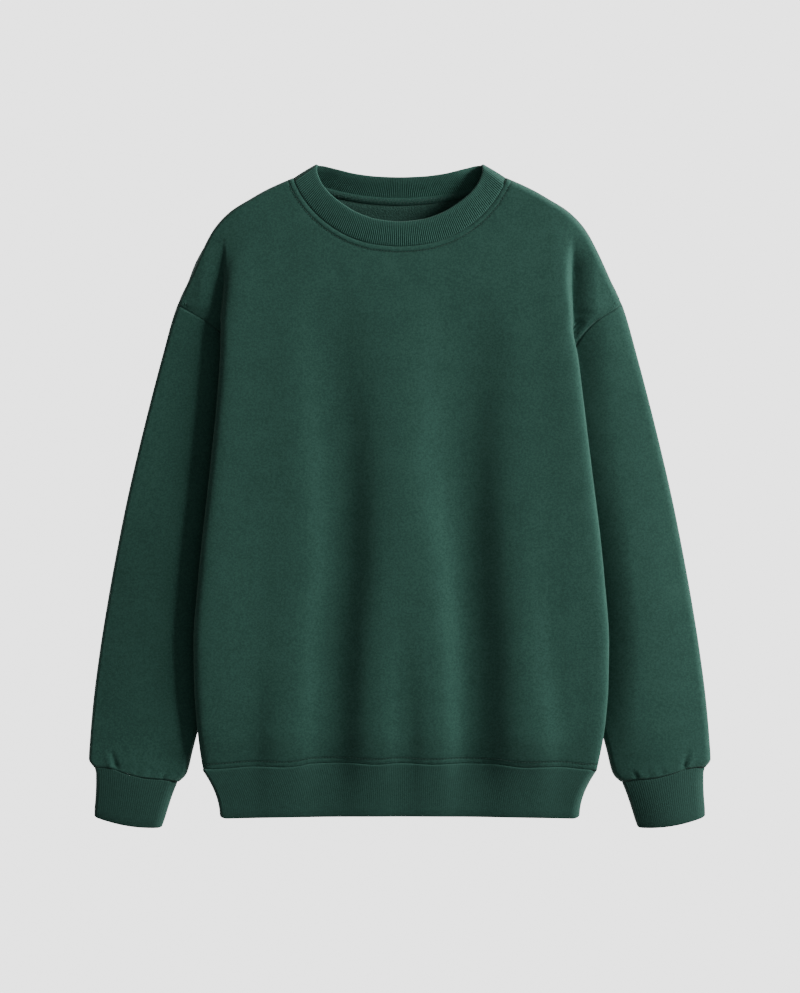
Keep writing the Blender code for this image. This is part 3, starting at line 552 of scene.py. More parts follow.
# %% The yarn's mottling and nap as a node group
def make_yarn():
    """Shade is a soft mottling from three sizes of noise; Nap is the height of loose fibres."""
    group, given, result = new_group("yarn", {"Place": 0, "Fibre": 1.0}, ("Shade", "Nap"))
    place = given.outputs["Place"]
    mixed = do_math(group, "MULTIPLY", add_noise(group, place, 380.0, 4.0, 0.6), 0.45)
    mixed = do_math(group, "MULTIPLY_ADD", add_noise(group, place, 40.0, 3.0), 0.15, mixed)
    mixed = do_math(group, "MULTIPLY_ADD", add_noise(group, place, 620.0, 2.0), 0.40, mixed)
    group.links.new(mixed, result.inputs["Shade"])
    fibre = add_noise(group, place, 1500.0, 3.0, 0.7)
    nap = do_math(group, "MULTIPLY", fibre, given.outputs["Fibre"])
    group.links.new(nap, result.inputs["Nap"])
    return group


yarn = make_yarn()
print("group:", yarn.name, [item.name for item in yarn.interface.items_tree])

# %% The cloth's colours
FLEECE_YARN = ((0.0185, 0.067, 0.050, 1), (0.029, 0.094, 0.071, 1))     # its dark and light flecks
RIB_YARN = ((0.034, 0.110, 0.083, 1), (0.045, 0.140, 0.107, 1))
SEAM_SHADE = (0.006, 0.024, 0.018, 1)       # painted shade deep in a seam's groove
INSIDE_SHADE = (0.004, 0.016, 0.012, 1)       # painted shade over the whole inside, deep in the neck
GROOVE_SHADE = (0.005, 0.021, 0.016, 1)     # painted shade between two ribs
THREAD_COLOUR = (0.022, 0.080, 0.060)
TAPE_THREAD_COLOUR = (0.04, 0.115, 0.09)
FLEECE_STITCH = (0.0012, 0.0009)            # width and height of a stitch, in metres
RIB_STITCH = (RIB_PITCH * MM, 0.0013)


def start_material(name):
    """A material with its node tree, its shader and the output links in place."""
    material = bpy.data.materials.new(name)
    material.use_nodes = True
    return material, material.node_tree, material.node_tree.nodes["Principled BSDF"]


def seam_profile(tree, distance):
    """Height beside a sewn seam by the distance from it in millimetres: a groove at the seam,
    a puffed band over the seam allowance, and a pressed line where the topstitching runs."""
    share = do_math(tree, "DIVIDE", distance, 2 * TOPSTITCH)
    ramp = add_node(tree, "ShaderNodeValToRGB", {0: share})
    ramp.color_ramp.interpolation = "B_SPLINE"
    stops = ((0.0, 0.0), (0.05, 0.25), (0.14, 0.80), (0.30, 0.95), (0.42, 0.80), (0.50, 0.10),
             (0.56, 0.55), (0.72, 0.72), (1.0, 0.75))
    elements = ramp.color_ramp.elements
    while len(elements) < len(stops):
        elements.new(0.5)
    for element, (place, value) in zip(elements, stops):
        element.position = place
        element.color = (value, value, value, 1)
    return ramp.outputs[0]


def start_cloth(name, colours, fibre, stitch):
    """A cloth material: its tree and shader, its UV map, its flecked colour, the mottling and
    the knitted face, with the soft dull gloss of cotton."""
    material, tree, shader = start_material(name)
    cloth = add_node(tree, "ShaderNodeUVMap", uv_map="cloth").outputs[0]
    place = add_node(tree, "ShaderNodeTexCoord").outputs["Object"]
    look = use_group(tree, yarn, Place=place, Fibre=fibre)
    face = use_group(tree, knit_face, Place=cloth, Wale=stitch[0], Course=stitch[1])
    colour = mix_colours(tree, stretch(tree, look.outputs["Shade"], 0.42, 0.58), *colours)
    shader.inputs["Sheen Weight"].default_value = 0.12
    shader.inputs["Sheen Roughness"].default_value = 0.5
    shader.inputs["Sheen Tint"].default_value = (0.55, 0.8, 0.72, 1)
    shader.inputs["Specular IOR Level"].default_value = 0.25
    return material, tree, shader, cloth, colour, look, face


# %% Fleece
def make_fleece(name, inside=False):
    """Loopback fleece: its smooth face with the marks of its seams and painted shade in their
    grooves, or its looped inside, painted darker all over as shade.
    """
    material, tree, shader, cloth, colour, look, face = start_cloth(
        name, FLEECE_YARN, 1.0, FLEECE_STITCH)
    if inside:
        # painted shade: the whole inside is darkened, for the shade that lies deep in the neck
        colour = mix_colours(tree, 0.45, colour, INSIDE_SHADE)
        loop = add_node(tree, "ShaderNodeTexVoronoi",
                        {"Vector": cloth, "Scale": 620.0, "Randomness": 0.55})
        grain = do_math(tree, "SUBTRACT", 1.0, loop.outputs["Distance"])
        normal = add_bump(tree, grain, 0.9, 0.0007)
    else:
        distance = add_node(tree, "ShaderNodeAttribute", attribute_name="seam").outputs["Fac"]
        profile = seam_profile(tree, distance)
        # painted shade: the colour darkens where the seam's profile dips, in its groove and pressed
        # line
        depth = stretch(tree, profile, 0.0, 0.7, 0.45, 1.0)
        colour = mix_colours(tree, depth, SEAM_SHADE, colour)
        normal = add_bump(tree, profile, 1.0, 0.0011)
    normal = add_bump(tree, face.outputs[0], 0.55, 0.00022, Normal=normal)
    normal = add_bump(tree, look.outputs["Nap"], 0.7, 0.0004, Normal=normal)
    rough = stretch(tree, look.outputs["Shade"], 0.0, 1.0, 0.98, 0.82)
    for value, key in ((normal, "Normal"), (colour, "Base Color"), (rough, "Roughness")):
        tree.links.new(value, shader.inputs[key])
    return material


# %% Rib and thread
def make_rib(name):
    """Rib knit: painted lighter on each rib and darker in its groove as shade, with small stitches
    on top.
    """
    material, tree, shader, _, colour, look, face = start_cloth(
        name, RIB_YARN, 0.8, RIB_STITCH)
    crest = add_node(tree, "ShaderNodeAttribute", attribute_name="crest").outputs["Fac"]
    # painted shade: darker in each groove, by the crest mark
    colour = mix_colours(tree, stretch(tree, crest, 0.0, 1.0), GROOVE_SHADE, colour)
    normal = add_bump(tree, face.outputs[0], 0.35, 0.00015)
    normal = add_bump(tree, look.outputs["Nap"], 0.6, 0.0003, Normal=normal)
    tree.links.new(normal, shader.inputs["Normal"])
    tree.links.new(colour, shader.inputs["Base Color"])
    shader.inputs["Roughness"].default_value = 0.9
    return material


def make_thread(name, colour):
    """Sewing thread: a little shinier than the cloth, with a twist along it, and painted shade in
    the twist's grooves.
    """
    material, tree, shader = start_material(name)
    cloth = add_node(tree, "ShaderNodeUVMap", uv_map="cloth").outputs[0]
    twist = add_node(tree, "ShaderNodeTexWave", {"Vector": cloth, "Scale": 900.0},
                     bands_direction="DIAGONAL").outputs[1]
    dark = tuple(0.6 * part for part in colour) + (1,)
    # painted shade in the twist's grooves: darker where its bump is low
    colour = mix_colours(tree, twist, dark, tuple(colour) + (1,))
    tree.links.new(add_bump(tree, twist, 0.4, 0.0001), shader.inputs["Normal"])
    tree.links.new(colour, shader.inputs["Base Color"])
    shader.inputs["Roughness"].default_value = 0.6
    return material


fleece_face = make_fleece("fleece_face")
fleece_back = make_fleece("fleece_looped_back_shaded", inside=True)
rib_knit = make_rib("rib_knit")
thread = make_thread("sewing_thread", THREAD_COLOUR)
tape_thread = make_thread("tape_thread", TAPE_THREAD_COLOUR)
print("materials:", [m.name for m in (fleece_face, fleece_back, rib_knit, thread, tape_thread)])

# %% [markdown]
# ## The front panel
#
# The front covers the torso and is wider than the flat torso shows: at each side it rolls
# under, runs in over the sleeve and comes out again to the armhole or down to the side seam.
# So every height on the garment has a section from the middle to the seam: flat up to a band
# inside the edge, then a spline round the fold. Column 0 is the middle, 1 the start of the
# fold and 2 the seam.
#
# The spline has nine places. Without a fold they fall evenly to the seam, and with a full fold
# they go over the edge, back in and out again, so mixing the two lets the fold grow out of the
# flat chest. Above the fold a crease runs up into the shoulder: the cloth drops softly behind a
# lip and comes back to its height further out.

# %% Sizes of the side fold and of the crease above it
FOLD_TOP_Y, FOLD_FULL_Y = 208.0, 150.0      # the side fold starts and is fully formed here
FOLD_IN, FOLD_DOWN = 1.5, 0.7               # how late the fold draws in and drops, as powers
BAND = 22.0                                 # column 1 runs this far inside the torso's edge
HEM_BEND_Y, HEM_BEND = -235.0, 50.0         # the strip sinks towards the hem over this length
ARMHOLE_Y, ARMHOLE_REACH = 180.0, 20.0      # the edge draws in most here, over this length
CREASE_TOP_Y = 287.0                        # a crease runs up from the fold into the shoulder
CREASE_FLOOR = 5.6                          # and its valley stays above this height
# By side, left (-1) and right (1):
CREASE_RUN = {-1: 75.0, 1: 48.0}            # the crease is fully formed this far below its top
CREASE_DEPTH = {-1: 6.0, 1: 12.5}
CREASE_POWER = {-1: 1.6, 1: 1.7}            # how quickly it fades outwards
CREASE_FADE = {-1: 0.7, 1: 1.2}             # how late it gives way to the fold
LIP = {-1: -0.8, 1: 2.4}                    # the crease's lip lies this far inside the edge
LIP_DROP = {-1: 0.5, 1: 0.2}                # share of the whole fall that lies at the lip
LIP_SOFT = 1.4                              # half width of the fall behind the lip
SOFTER = {-1: -0.4, 1: 1.4}                 # and what is added to it towards the shoulder
EDGE_IN = {-1: -0.6, 1: 1.7}                # the edge draws in this far at the armhole's height
TURN = {-1: 1.6, 1: 1.9}                    # radius of the fold's turn
NINE = np.arange(9) / 8                     # the section's nine places as shares of the way
BEYOND_LIP = np.array((0.04, 0.09, 0.17, 0.32, 0.55, 0.78, 1.0))     # the last seven, from the lip
STRIP_LOWER = (1.6, 2.8, 3.5)               # the strip's three places lie lower where it shows


def crease_share(y, side):
    """How far the crease has formed: 0 above its top and 1 below its run."""
    return ease((CREASE_TOP_Y - y) / CREASE_RUN[side])


def below_arm(y):
    """0 along the armhole and 1 from 11 mm below the underarm on."""
    return ease((UNDERARM_Y + 1 - y) / 12)


print("crease formed at y = 260, left and right:",
      [round(float(crease_share(260, side)), 2) for side in (-1, 1)])


# %% Nine places of the front's section, loose and tight
def loose_places(start, flat_z, lip, top, seam, seam_z, side, edge, y):
    """The nine places without the fold: an even fall from the flat part to the seam, which
    gives way below the crease's top to a fall that is quick behind the crease's lip."""
    creased = crease_share(y, side)[..., None]
    past_u = lip[..., None] + np.maximum(seam - lip, 0)[..., None] * BEYOND_LIP
    drop = LIP_DROP[side]
    past_z = top[..., None] + (seam_z - top)[..., None] * (drop + (1 - drop) * BEYOND_LIP)
    lipped_u = np.concatenate((start[..., None], lip[..., None] - 1, past_u), axis=-1)
    lipped_u = np.where((seam < edge)[..., None] & (NINE == 1), seam[..., None], lipped_u)
    lipped_z = np.concatenate((flat_z[..., None], top[..., None] - 0.3, past_z), axis=-1)
    even_u = start[..., None] + NINE * (seam - start)[..., None]
    even_z = flat_z[..., None] + ease(NINE) * (seam_z - flat_z + 2)[..., None]
    return even_u + (lipped_u - even_u) * creased, even_z + (lipped_z - even_z) * creased


def tight_places(start, flat_z, edge, top, inner, seam, seam_z, side, y):
    """The nine places of the full fold: over the edge, back in over the sleeve as a strip, and
    out to the armhole, or down to the side seam below the arm. Where the fold starts, at the
    armhole's upper part, the strip lies lower because it shows there."""
    below = below_arm(y)
    shown = ease((y - FOLD_FULL_Y) / 18)
    strip = STRIP_HEIGHT + (STRIP_AT_HEM - STRIP_HEIGHT) * ease((HEM_BEND_Y - y) / HEM_BEND)
    depth = edge - inner
    turn_z = SLEEVE_UNDER * (1 - below) + (strip - 0.8) * below
    back_out = 1.5 * (1 - below)
    turn_u = inner + np.minimum(3, depth / 4) * below - back_out
    turn = TURN[side]
    tight_u = np.stack((start, edge - turn, edge - 0.5, edge - turn, edge - 0.5 * depth, turn_u,
                        inner - back_out, np.minimum((inner + seam) / 2, edge), seam), axis=-1)
    before_seam = turn_z + (seam_z - turn_z) * (0.5 * below + 0.55 * shown)
    tight_z = np.stack((flat_z, top, (top + strip) / 2,
                        *(strip - lower * shown for lower in STRIP_LOWER),
                        turn_z + 0.6 * shown, before_seam, seam_z), axis=-1)
    return tight_u, tight_z


# %% The crease's valley
def crease_valley(half, z, y, lip, reach, folded, side):
    """Heights with the crease's valley behind its lip: a soft step down at the lip, 1.5 mm
    past it, that fades outwards as a power. The depth d gives way to the room r above the
    valley's floor as d / (1 + (d / r) to the 4th) to the power 1/4."""
    crease = CREASE_DEPTH[side] * crease_share(y, side) * (1 - folded ** CREASE_FADE[side])
    away = np.clip((half - lip) / reach, 0, 1)
    soft = LIP_SOFT + SOFTER[side] * ease((y - 200) / 40)
    past = (1 + np.tanh((half - lip - 1.5) / soft)) / 2 * (1 - away) ** CREASE_POWER[side]
    dip, room = crease * past, np.maximum(z - CREASE_FLOOR, 0.05)
    return z - dip / (1 + (dip / room) ** 4) ** 0.25


# %% Section of the front panel
def front_section(column, y, side):
    """Point of the front panel on a column line at height y.

    The flat part is the front's height over x. The rest is a spline through nine places that
    go over from the loose ones to the tight ones as the fold forms. Then come the crease's
    valley, the roll at the garment's outer edge and the torso's small shift to the right."""
    edge = along(TORSO, "y", y, "edge") - EDGE_IN[side] * np.exp(
        -((y - ARMHOLE_Y) / ARMHOLE_REACH) ** 2)
    inner = along(TORSO, "y", y, "inner")
    lip = edge - LIP[side]
    start = edge - BAND
    flat_x = np.minimum(column, 1) * start
    flat_z = front_height(side * flat_x, y)
    top = front_height(side * edge, y)
    folded = ease((FOLD_TOP_Y - y) / (FOLD_TOP_Y - FOLD_FULL_Y))
    armhole = np.minimum(along(ARMHOLE[side], "y", y, "half"),
                         outer_half(np.minimum(y, SHOULDER_Y)))
    seam = np.where(y < UNDERARM_Y, inner, armhole)
    seam_z = np.where(y < UNDERARM_Y, SLEEVE_UNDER, sleeve_height(seam, y, side))
    seam_z = seam_z + (SIDE_SEAM_HEIGHT - seam_z) * below_arm(y)

    loose_u, loose_z = loose_places(start, flat_z, lip, top, seam, seam_z, side, edge, y)
    tight_u, tight_z = tight_places(start, flat_z, edge, top, inner, seam, seam_z, side, y)
    places = np.stack((loose_u + (tight_u - loose_u) * folded[..., None] ** FOLD_IN,
                       loose_z + (tight_z - loose_z) * folded[..., None] ** FOLD_DOWN), axis=-1)
    curved = spline(places, np.clip(column - 1, 0, 1) * 8)
    point = np.where((column <= 1)[..., None], np.stack((flat_x, flat_z), axis=-1), curved)
    half, z = point[..., 0], point[..., 1]

    reach = np.clip(0.8 * (armhole - edge), 6, 30)
    z = crease_valley(half, z, y, lip, reach, folded, side)
    near_edge = quarter(edge_distance(half, y) / ROLL[side])
    in_fold = (column > 1.3) & (y < FOLD_FULL_Y) & (half < edge + 2)    # no roll inside it
    near_edge = np.where(in_fold, 1.0, near_edge)
    z = seam_low(half) + (z - seam_low(half)) * near_edge
    shift = along(TORSO, "y", y, "shift") * ease((1.7 - column) / 0.4)
    return np.stack((side * half + shift, y, z), axis=-1)


for y in (260.0, 150.0, 0.0):
    places = front_section(np.array((0.0, 1.0, 1.25, 1.5, 2.0)), np.full(5, y), 1)
    print(f"right section at y = {y:.0f}:", places[:, ::2].round(0).tolist())


# %% Lines of the collar
def collar_line(tab, end, t):
    """Plan line of a collar half from its left crease (t = 0) to its right one (t = 2)."""
    share, x, y = (tab[key] for key in ("share", end + "_x", end + "_y"))
    halves = {"t": (share, 2 - share), "x": (-x, x), "y": (y, y)}
    both = {key: np.concatenate((left, right[-2::-1])) for key, (left, right) in halves.items()}
    return np.column_stack((along(both, "t", t, "x"), along(both, "t", t, "y")))


NECKLINE = collar_line(FRONT_COLLAR, "seam", np.linspace(0, 2, 161))
BACK_NECKLINE = collar_line(BACK_COLLAR, "seam", np.linspace(0, 2, 81))
print("collar opening between its creases:", 2 * float(FRONT_COLLAR["edge_x"][0]), "mm")


# %% Grid of the front panel
LEVEL_Y = 190.0         # rows are level up to here, and bend towards the neckline above it
LOWER_ROWS, UPPER_ROWS = 92, 44
FLAT_COLUMNS, FOLD_COLUMNS = 70, 58
# Rows beside a seam, by their distance from it.
NEAR_SEAM = np.array((0, 0.5, 1.1, 1.8, 2.7, 3.8, 5.2, 6.6, 8.0, 10.0, 13.0))


def column_top(column):
    """Height where a column line ends: at the neckline or at the garment's outer edge."""
    y = np.linspace(SHOULDER_Y, NECK_POINT_Y, 560)
    half = front_section(np.full_like(y, column), y, 1)[:, 0]
    meet = y[half <= outer_half(y) + 1e-6].max()
    if half[-1] < NECK_HALF:
        right = NECKLINE[len(NECKLINE) // 2:]
        meet = min(meet, np.interp(half[-1], *right.T))
    return meet


def rows_between(low, high, count, near_low):
    """Heights from low to high for each column, close together beside the seam at one end, at
    the distances of NEAR_SEAM, and even from there on."""
    length = (high - low)[None]
    near = NEAR_SEAM[:, None] / length
    even_rows = near[-1] + np.linspace(0, 1, count)[1:, None] * (1 - near[-1])
    share = np.concatenate((near, even_rows))
    return low + length * (share if near_low else 1 - share[::-1])


def front_grid():
    """The front panel's wall middle: rows from hem to neck, columns from left to right."""
    neck_column = NECK_HALF / (TORSO["edge"][-1] - BAND)
    flat = np.concatenate((np.linspace(0, neck_column, FLAT_COLUMNS * 2 // 3, endpoint=False),
                           np.linspace(neck_column, 1, FLAT_COLUMNS // 3, endpoint=False)))
    columns = np.concatenate((flat, 1 + np.linspace(0, 1, FOLD_COLUMNS + 1)))
    top = np.array([column_top(c) for c in columns])
    start = TORSO["edge"][0] - BAND
    # Where each column meets the hem seam: past column 1 it soon lies at the torso's edge.
    at_hem = np.interp(columns, (0, 1, 1.12, 1.24), (0, start, start + 13, start + 21))
    halves = []
    for side in (-1, 1):
        bottom = hem_seam(side * at_hem)
        y = np.concatenate((rows_between(bottom, np.full_like(bottom, LEVEL_Y), LOWER_ROWS, True),
                            rows_between(np.full_like(top, LEVEL_Y), top, UPPER_ROWS, False)[1:]))
        halves.append(front_section(np.broadcast_to(columns, y.shape), y, side))
    return np.concatenate((halves[0][:, :0:-1], halves[1]), axis=1)


front_points = front_grid()
print(f"front grid: {front_points.shape}, highest point {front_points[..., 2].max():.1f} mm")


# %% Seam marks and pressed edges
FAR = 60.0              # stands for any larger distance from a seam
ARMHOLE_MARK = 2.5      # the armhole seam has no topstitching and marks only this much cloth
HEM_PRESS = (0.45, 1.3)         # how deep the cloth dips at a seam and how far the dip reaches
ARMHOLE_PRESS = (0.4, 1.0)


def pressed(z, distance, depth, reach):
    """A height that dips beside a seam: z - depth exp(-distance / reach)."""
    return z - depth * np.exp(-distance / reach)


def front_marks(points):
    """Distances from the hem, neck and armhole seams, in millimetres, for every point."""
    x, y = points[..., 0], points[..., 1]
    hem = y - hem_seam(x)
    neck = distance_to(NECKLINE[::2], x, y)
    across = arc(points, 1)
    side = np.minimum(across, across[:, -1:] - across)
    side = np.where(y > UNDERARM_Y - 10, side, FAR)
    return np.clip(hem, 0, FAR), neck, side


hem_far, neck_far, side_far = front_marks(front_points)
sewn = np.minimum(hem_far, neck_far)
seam_far = np.minimum(sewn, np.where(side_far < ARMHOLE_MARK, side_far, FAR))
front_shape = front_points.copy()
front_shape[..., 2] = pressed(pressed(front_shape[..., 2], sewn, *HEM_PRESS),
                              side_far, *ARMHOLE_PRESS)
front_uv = np.stack((arc(front_points, 1), arc(front_points, 0)), axis=-1)
front_uv[..., 0] -= front_uv[:, front_uv.shape[1] // 2, 0][:, None]
mesh = make_mesh("front_cloth", front_shape, grid_faces(*front_shape.shape[:2]), front_uv,
                 {"seam": seam_far})
front = add_wall(add_piece("front_cloth", mesh, fleece_face))
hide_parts("front_panel")

# %% [markdown]
# ## The back panel
#
# It lies flat on the surface under everything else. Its inside shows through the neck, where
# loopback fleece has its small loops, so it gets the looped finish, painted darker as shade.

# %% Back panel
BACK_NECK_CLEAR = 0.21  # the back panel ends this far below the collar's seam


def back_grid(rows=60, columns=50):
    """A flat grid: x is a share of the half width at y, and y runs up to the neckline."""
    share = np.linspace(-1, 1, 2 * columns + 1)
    y = np.linspace(HEM_SEAM_Y, BACK_HALF["y"][-1], 1800)
    half = np.interp(y, BACK_HALF["y"], BACK_HALF["half"])
    above = y[-1] + 50      # beside the neck only the shoulder limits the panel
    top = []
    for s in share:
        neck_y = np.interp(s * half, *BACK_NECKLINE.T, left=above, right=above)
        top.append(y[y <= neck_y - BACK_NECK_CLEAR].max())
    bottom = hem_seam(share * BACK_HALF["half"][0])
    r = np.linspace(0, 1, rows)[:, None]
    grid_y = bottom + r * (np.array(top) - bottom)
    grid_x = share * np.interp(grid_y, BACK_HALF["y"], BACK_HALF["half"])
    return np.stack((grid_x, grid_y, np.full_like(grid_x, FLEECE / 2)), axis=-1)


back_points = back_grid()
back_uv = back_points[..., :2]
mesh = make_mesh("back_cloth", back_points, grid_faces(*back_points.shape[:2]), back_uv)
back = add_wall(add_piece("back_cloth", mesh, fleece_back))
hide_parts("back_panel")
print("back grid:", back_points.shape)

# %% [markdown]
# ## The sleeves
#
# A sleeve is one cut sewn into a tube, which lies flat: a ring of points runs from the outer
# side over the top to the inner side and back underneath. The first ring follows the armhole's
# edge on the front panel and later ones forget it.

# %% Sleeve rings
SLEEVE_TURN = 3.8       # height of the sleeve's outermost line
TURN_SLOPE, TURN_WIDTH = 0.5, 3.0       # its top rises at least this much beside that line
INNER_ROLL = 5.0        # width of the roll at the sleeve's inner side
FOOT_ROLL = 4.0         # and of the rolls of its underside
SLEEVE_END_OUTER_Y = -295.4     # the cuff seam
SLEEVE_END_INNER_Y = -311.0
ABOVE_ARMHOLE = -0.0022         # the first ring lies this share of the sleeve over the seam
# Shares of the way round, from the outer to the inner side on top, and back underneath.
TOP_SHARES = np.concatenate((np.linspace(0, 0.10, 14, endpoint=False), np.linspace(0.10, 0.93, 70),
                             np.linspace(0.93, 1.0, 13)[1:]))
UNDER_SHARES = np.concatenate((np.linspace(1.0, 0.95, 9)[1:], np.linspace(0.95, 0.05, 40)[1:],
                               np.linspace(0.05, 0.0, 9)[1:-1]))
RING_SHARES = np.concatenate((TOP_SHARES, UNDER_SHARES))
ON_TOP = np.arange(len(RING_SHARES)) < len(TOP_SHARES)


def ring(plan, share, width, side):
    """Heights of one flattened ring of a tube that lies on the surface.

    The top falls to the turn along a quarter ellipse at both sides, and the underside rises
    to it along a smaller one."""
    sides = rolled(share, width, ROLL[side], INNER_ROLL)
    feet = rolled(share, width, FOOT_ROLL, FOOT_ROLL)
    top = sleeve_height(plan[:, 0], plan[:, 1], side)
    return np.where(ON_TOP, SLEEVE_TURN + (top - SLEEVE_TURN) * sides,
                    SLEEVE_TURN - (SLEEVE_TURN - FLEECE / 2) * feet)


TUCKS = (               # small creases above the cuff: two ends in plan, depth and width
    ((-309.3, -293.5), (-316.5, -272.0), 1.3, 3.0), ((-258.5, -306.5), (-252.0, -296.5), 0.8, 2.4),
    ((-287.0, -302.0), (-283.0, -292.0), 0.35, 3.0), ((-272.0, -304.0), (-270.5, -293.0), 0.3, 3.0))


def tucked(x, y):
    """Depth of the creases above a cuff: deepest at the seam, fading along each crease as
    (1 - s) to the power 1.3 and across it as exp(-(distance / width) squared), with a ridge of
    0.45 its depth beside it."""
    depth = 0
    for foot, tip, deep, width in TUCKS:
        run = np.subtract(tip, foot)
        length = np.hypot(*run)
        s = ((x - foot[0]) * run[0] + (y - foot[1]) * run[1]) / length ** 2
        off = ((x - foot[0]) * run[1] - (y - foot[1]) * run[0]) / length
        inside = np.clip(1 - np.clip(s, 0, 1), 0, 1) ** 1.3 * np.exp(-np.clip(-s, 0, 9) * 8)
        depth = depth + deep * inside * (np.exp(-(off / width) ** 2)
                                         - 0.45 * np.exp(-((off + 2.1 * width) / width) ** 2))
    return depth


# %% Grid of a sleeve
def sleeve_grid(side, armhole):
    """Rings of the sleeve's wall middle, from the armhole seam to the cuff seam.

    A ring runs from a point on the garment's outer edge to one on the sleeve's inner edge, and
    w is its share of the way down. On top it starts along the armhole and forgets it as
    (1 - w) to the 4th; its height leaves the front panel's within a few millimetres."""
    rings = []
    shoulder_half = float(outer_half(SHOULDER_Y))
    # Rings lie closer together at the armhole and above the cuff.
    steps = np.concatenate((np.linspace(ABOVE_ARMHOLE, 0.012, 9, endpoint=False),
                            np.linspace(0.012, 0.93, 96, endpoint=False),
                            np.linspace(0.93, 1, 40)))
    for w in steps:
        outer_y = SHOULDER_Y + (SLEEVE_END_OUTER_Y - SHOULDER_Y) * w
        inner_y = UNDERARM_Y - 2 + (SLEEVE_END_INNER_Y - UNDERARM_Y + 2) * w
        outer = np.array((float(outer_half(outer_y)), outer_y))
        inner = np.array((float(along(SLEEVE_INNER, "y", inner_y, "half")), inner_y))
        width = np.hypot(*(inner - outer))
        plan = outer + RING_SHARES[:, None] * (inner - outer)
        plan[:, 1] += along(CUFF_WAVE, "share", RING_SHARES, "up") * ease((w - 0.95) / 0.05)
        way_in = (plan[:, 1] - outer_y) / (inner_y - outer_y)
        chord_y = SHOULDER_Y + way_in * (UNDERARM_Y - SHOULDER_Y)
        chord_share = (chord_y - SHOULDER_Y) / (UNDERARM_Y - SHOULDER_Y)
        chord = shoulder_half + chord_share * (UNDERARM_HALF - shoulder_half)
        fade = np.where(ON_TOP, (1 - max(w, 0)) ** 4, 0.0)
        plan[:, 0] += (np.interp(chord_y, armhole[:, 1], np.abs(armhole[:, 0])) - chord) * fade
        z = ring(plan, RING_SHARES, width, side)
        fade = fade * quarter((chord_y - UNDERARM_Y) / 8)
        z += (np.interp(chord_y, armhole[:, 1], armhole[:, 2]) - z) * fade * (1 - max(w, 0)) ** 30
        away = np.hypot(*(plan - plan[0]).T)
        least = SLEEVE_TURN + TURN_SLOPE * np.minimum(away, TURN_WIDTH)
        z = np.where(ON_TOP & (away < ROLL[side]), np.maximum(z, least), z)
        z = z - np.where(ON_TOP, tucked(-plan[:, 0], plan[:, 1]), 0)
        rings.append(np.column_stack((side * plan[:, 0], plan[:, 1], z)))
    return np.array(rings)


# %% Sleeves
SEAM_ROW = 1.1          # the armhole seam lies this far below a sleeve's first ring
HANDS = {-1: "left", 1: "right"}
sleeves, sleeve_points = {}, {}
for side, hand in HANDS.items():
    armhole = front_points[:, 0 if side < 0 else -1]
    points = sleeve_grid(side, armhole[armhole[:, 1] > UNDERARM_Y - 12])
    length = arc(points, 0)
    seam_far = np.minimum(np.abs(length - SEAM_ROW), length[-1:] - length)
    shaped, z = points.copy(), points[..., 2]
    shaped[..., 2] = np.where(ON_TOP, pressed(z, seam_far, *ARMHOLE_PRESS), z)
    uv = np.stack((arc(points, 1), length), axis=-1)
    mark = np.where(seam_far < ARMHOLE_MARK, seam_far, FAR)
    faces = grid_faces(*points.shape[:2], closed_columns=True)
    name = f"sleeve_cloth_{hand}"
    mesh = make_mesh(name, shaped, faces, uv, {"seam": mark}, flip=side < 0)
    sleeves[hand] = add_wall(add_piece(name, mesh, fleece_face))
    sleeve_points[hand] = points
    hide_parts(f"sleeve_{hand}")
    print(name, points.shape)

# %% [markdown]
# ## Rib bands
#
# Collar, cuffs and hem are strips of rib, doubled, with the fold as the free edge. A band is a
# closed section carried round a ring: up the outer face from the seam, round the free edge and
# back on the inside. Ribs are real waves across the band, six points to a rib.

# %% Rib band builder
RIB_POINTS = 6          # points across one rib and its groove
TUCK, TUCK_DOWN = 0.8, 0.7      # a band's seam edge runs on by this much and sinks this low
BAND_PRESS = (0.45, 0.9)        # depth and reach of the dip beside its seam
BAND_ROWS = np.array((0.0, 0.6, 1.3, 2.4, 4.0))     # rows beside the seam, by their distance
EDGE_TURNS = np.linspace(0, np.pi, 7)[1:-1]         # angles of the rows round the free edge


def even(points, count):
    """Points spaced evenly along a dense curve, both ends included."""
    length = arc(points, 0)
    at = np.linspace(0, length[-1], count)
    return np.column_stack([np.interp(at, length, points[:, k]) for k in range(points.shape[1])])


def closed_ring(top, under, top_count, under_count):
    """Even points over the top of a flattened ring and back along its underside."""
    return np.concatenate((even(top, top_count + 1)[:-1], even(under[::-1], under_count + 1)[:-1]))


def row_shares(depth, rows):
    """Shares of a band's depth for its rows: close together at the seam, then even."""
    return np.concatenate((BAND_ROWS, np.linspace(6.0, depth - RIB / 2, rows))) / depth


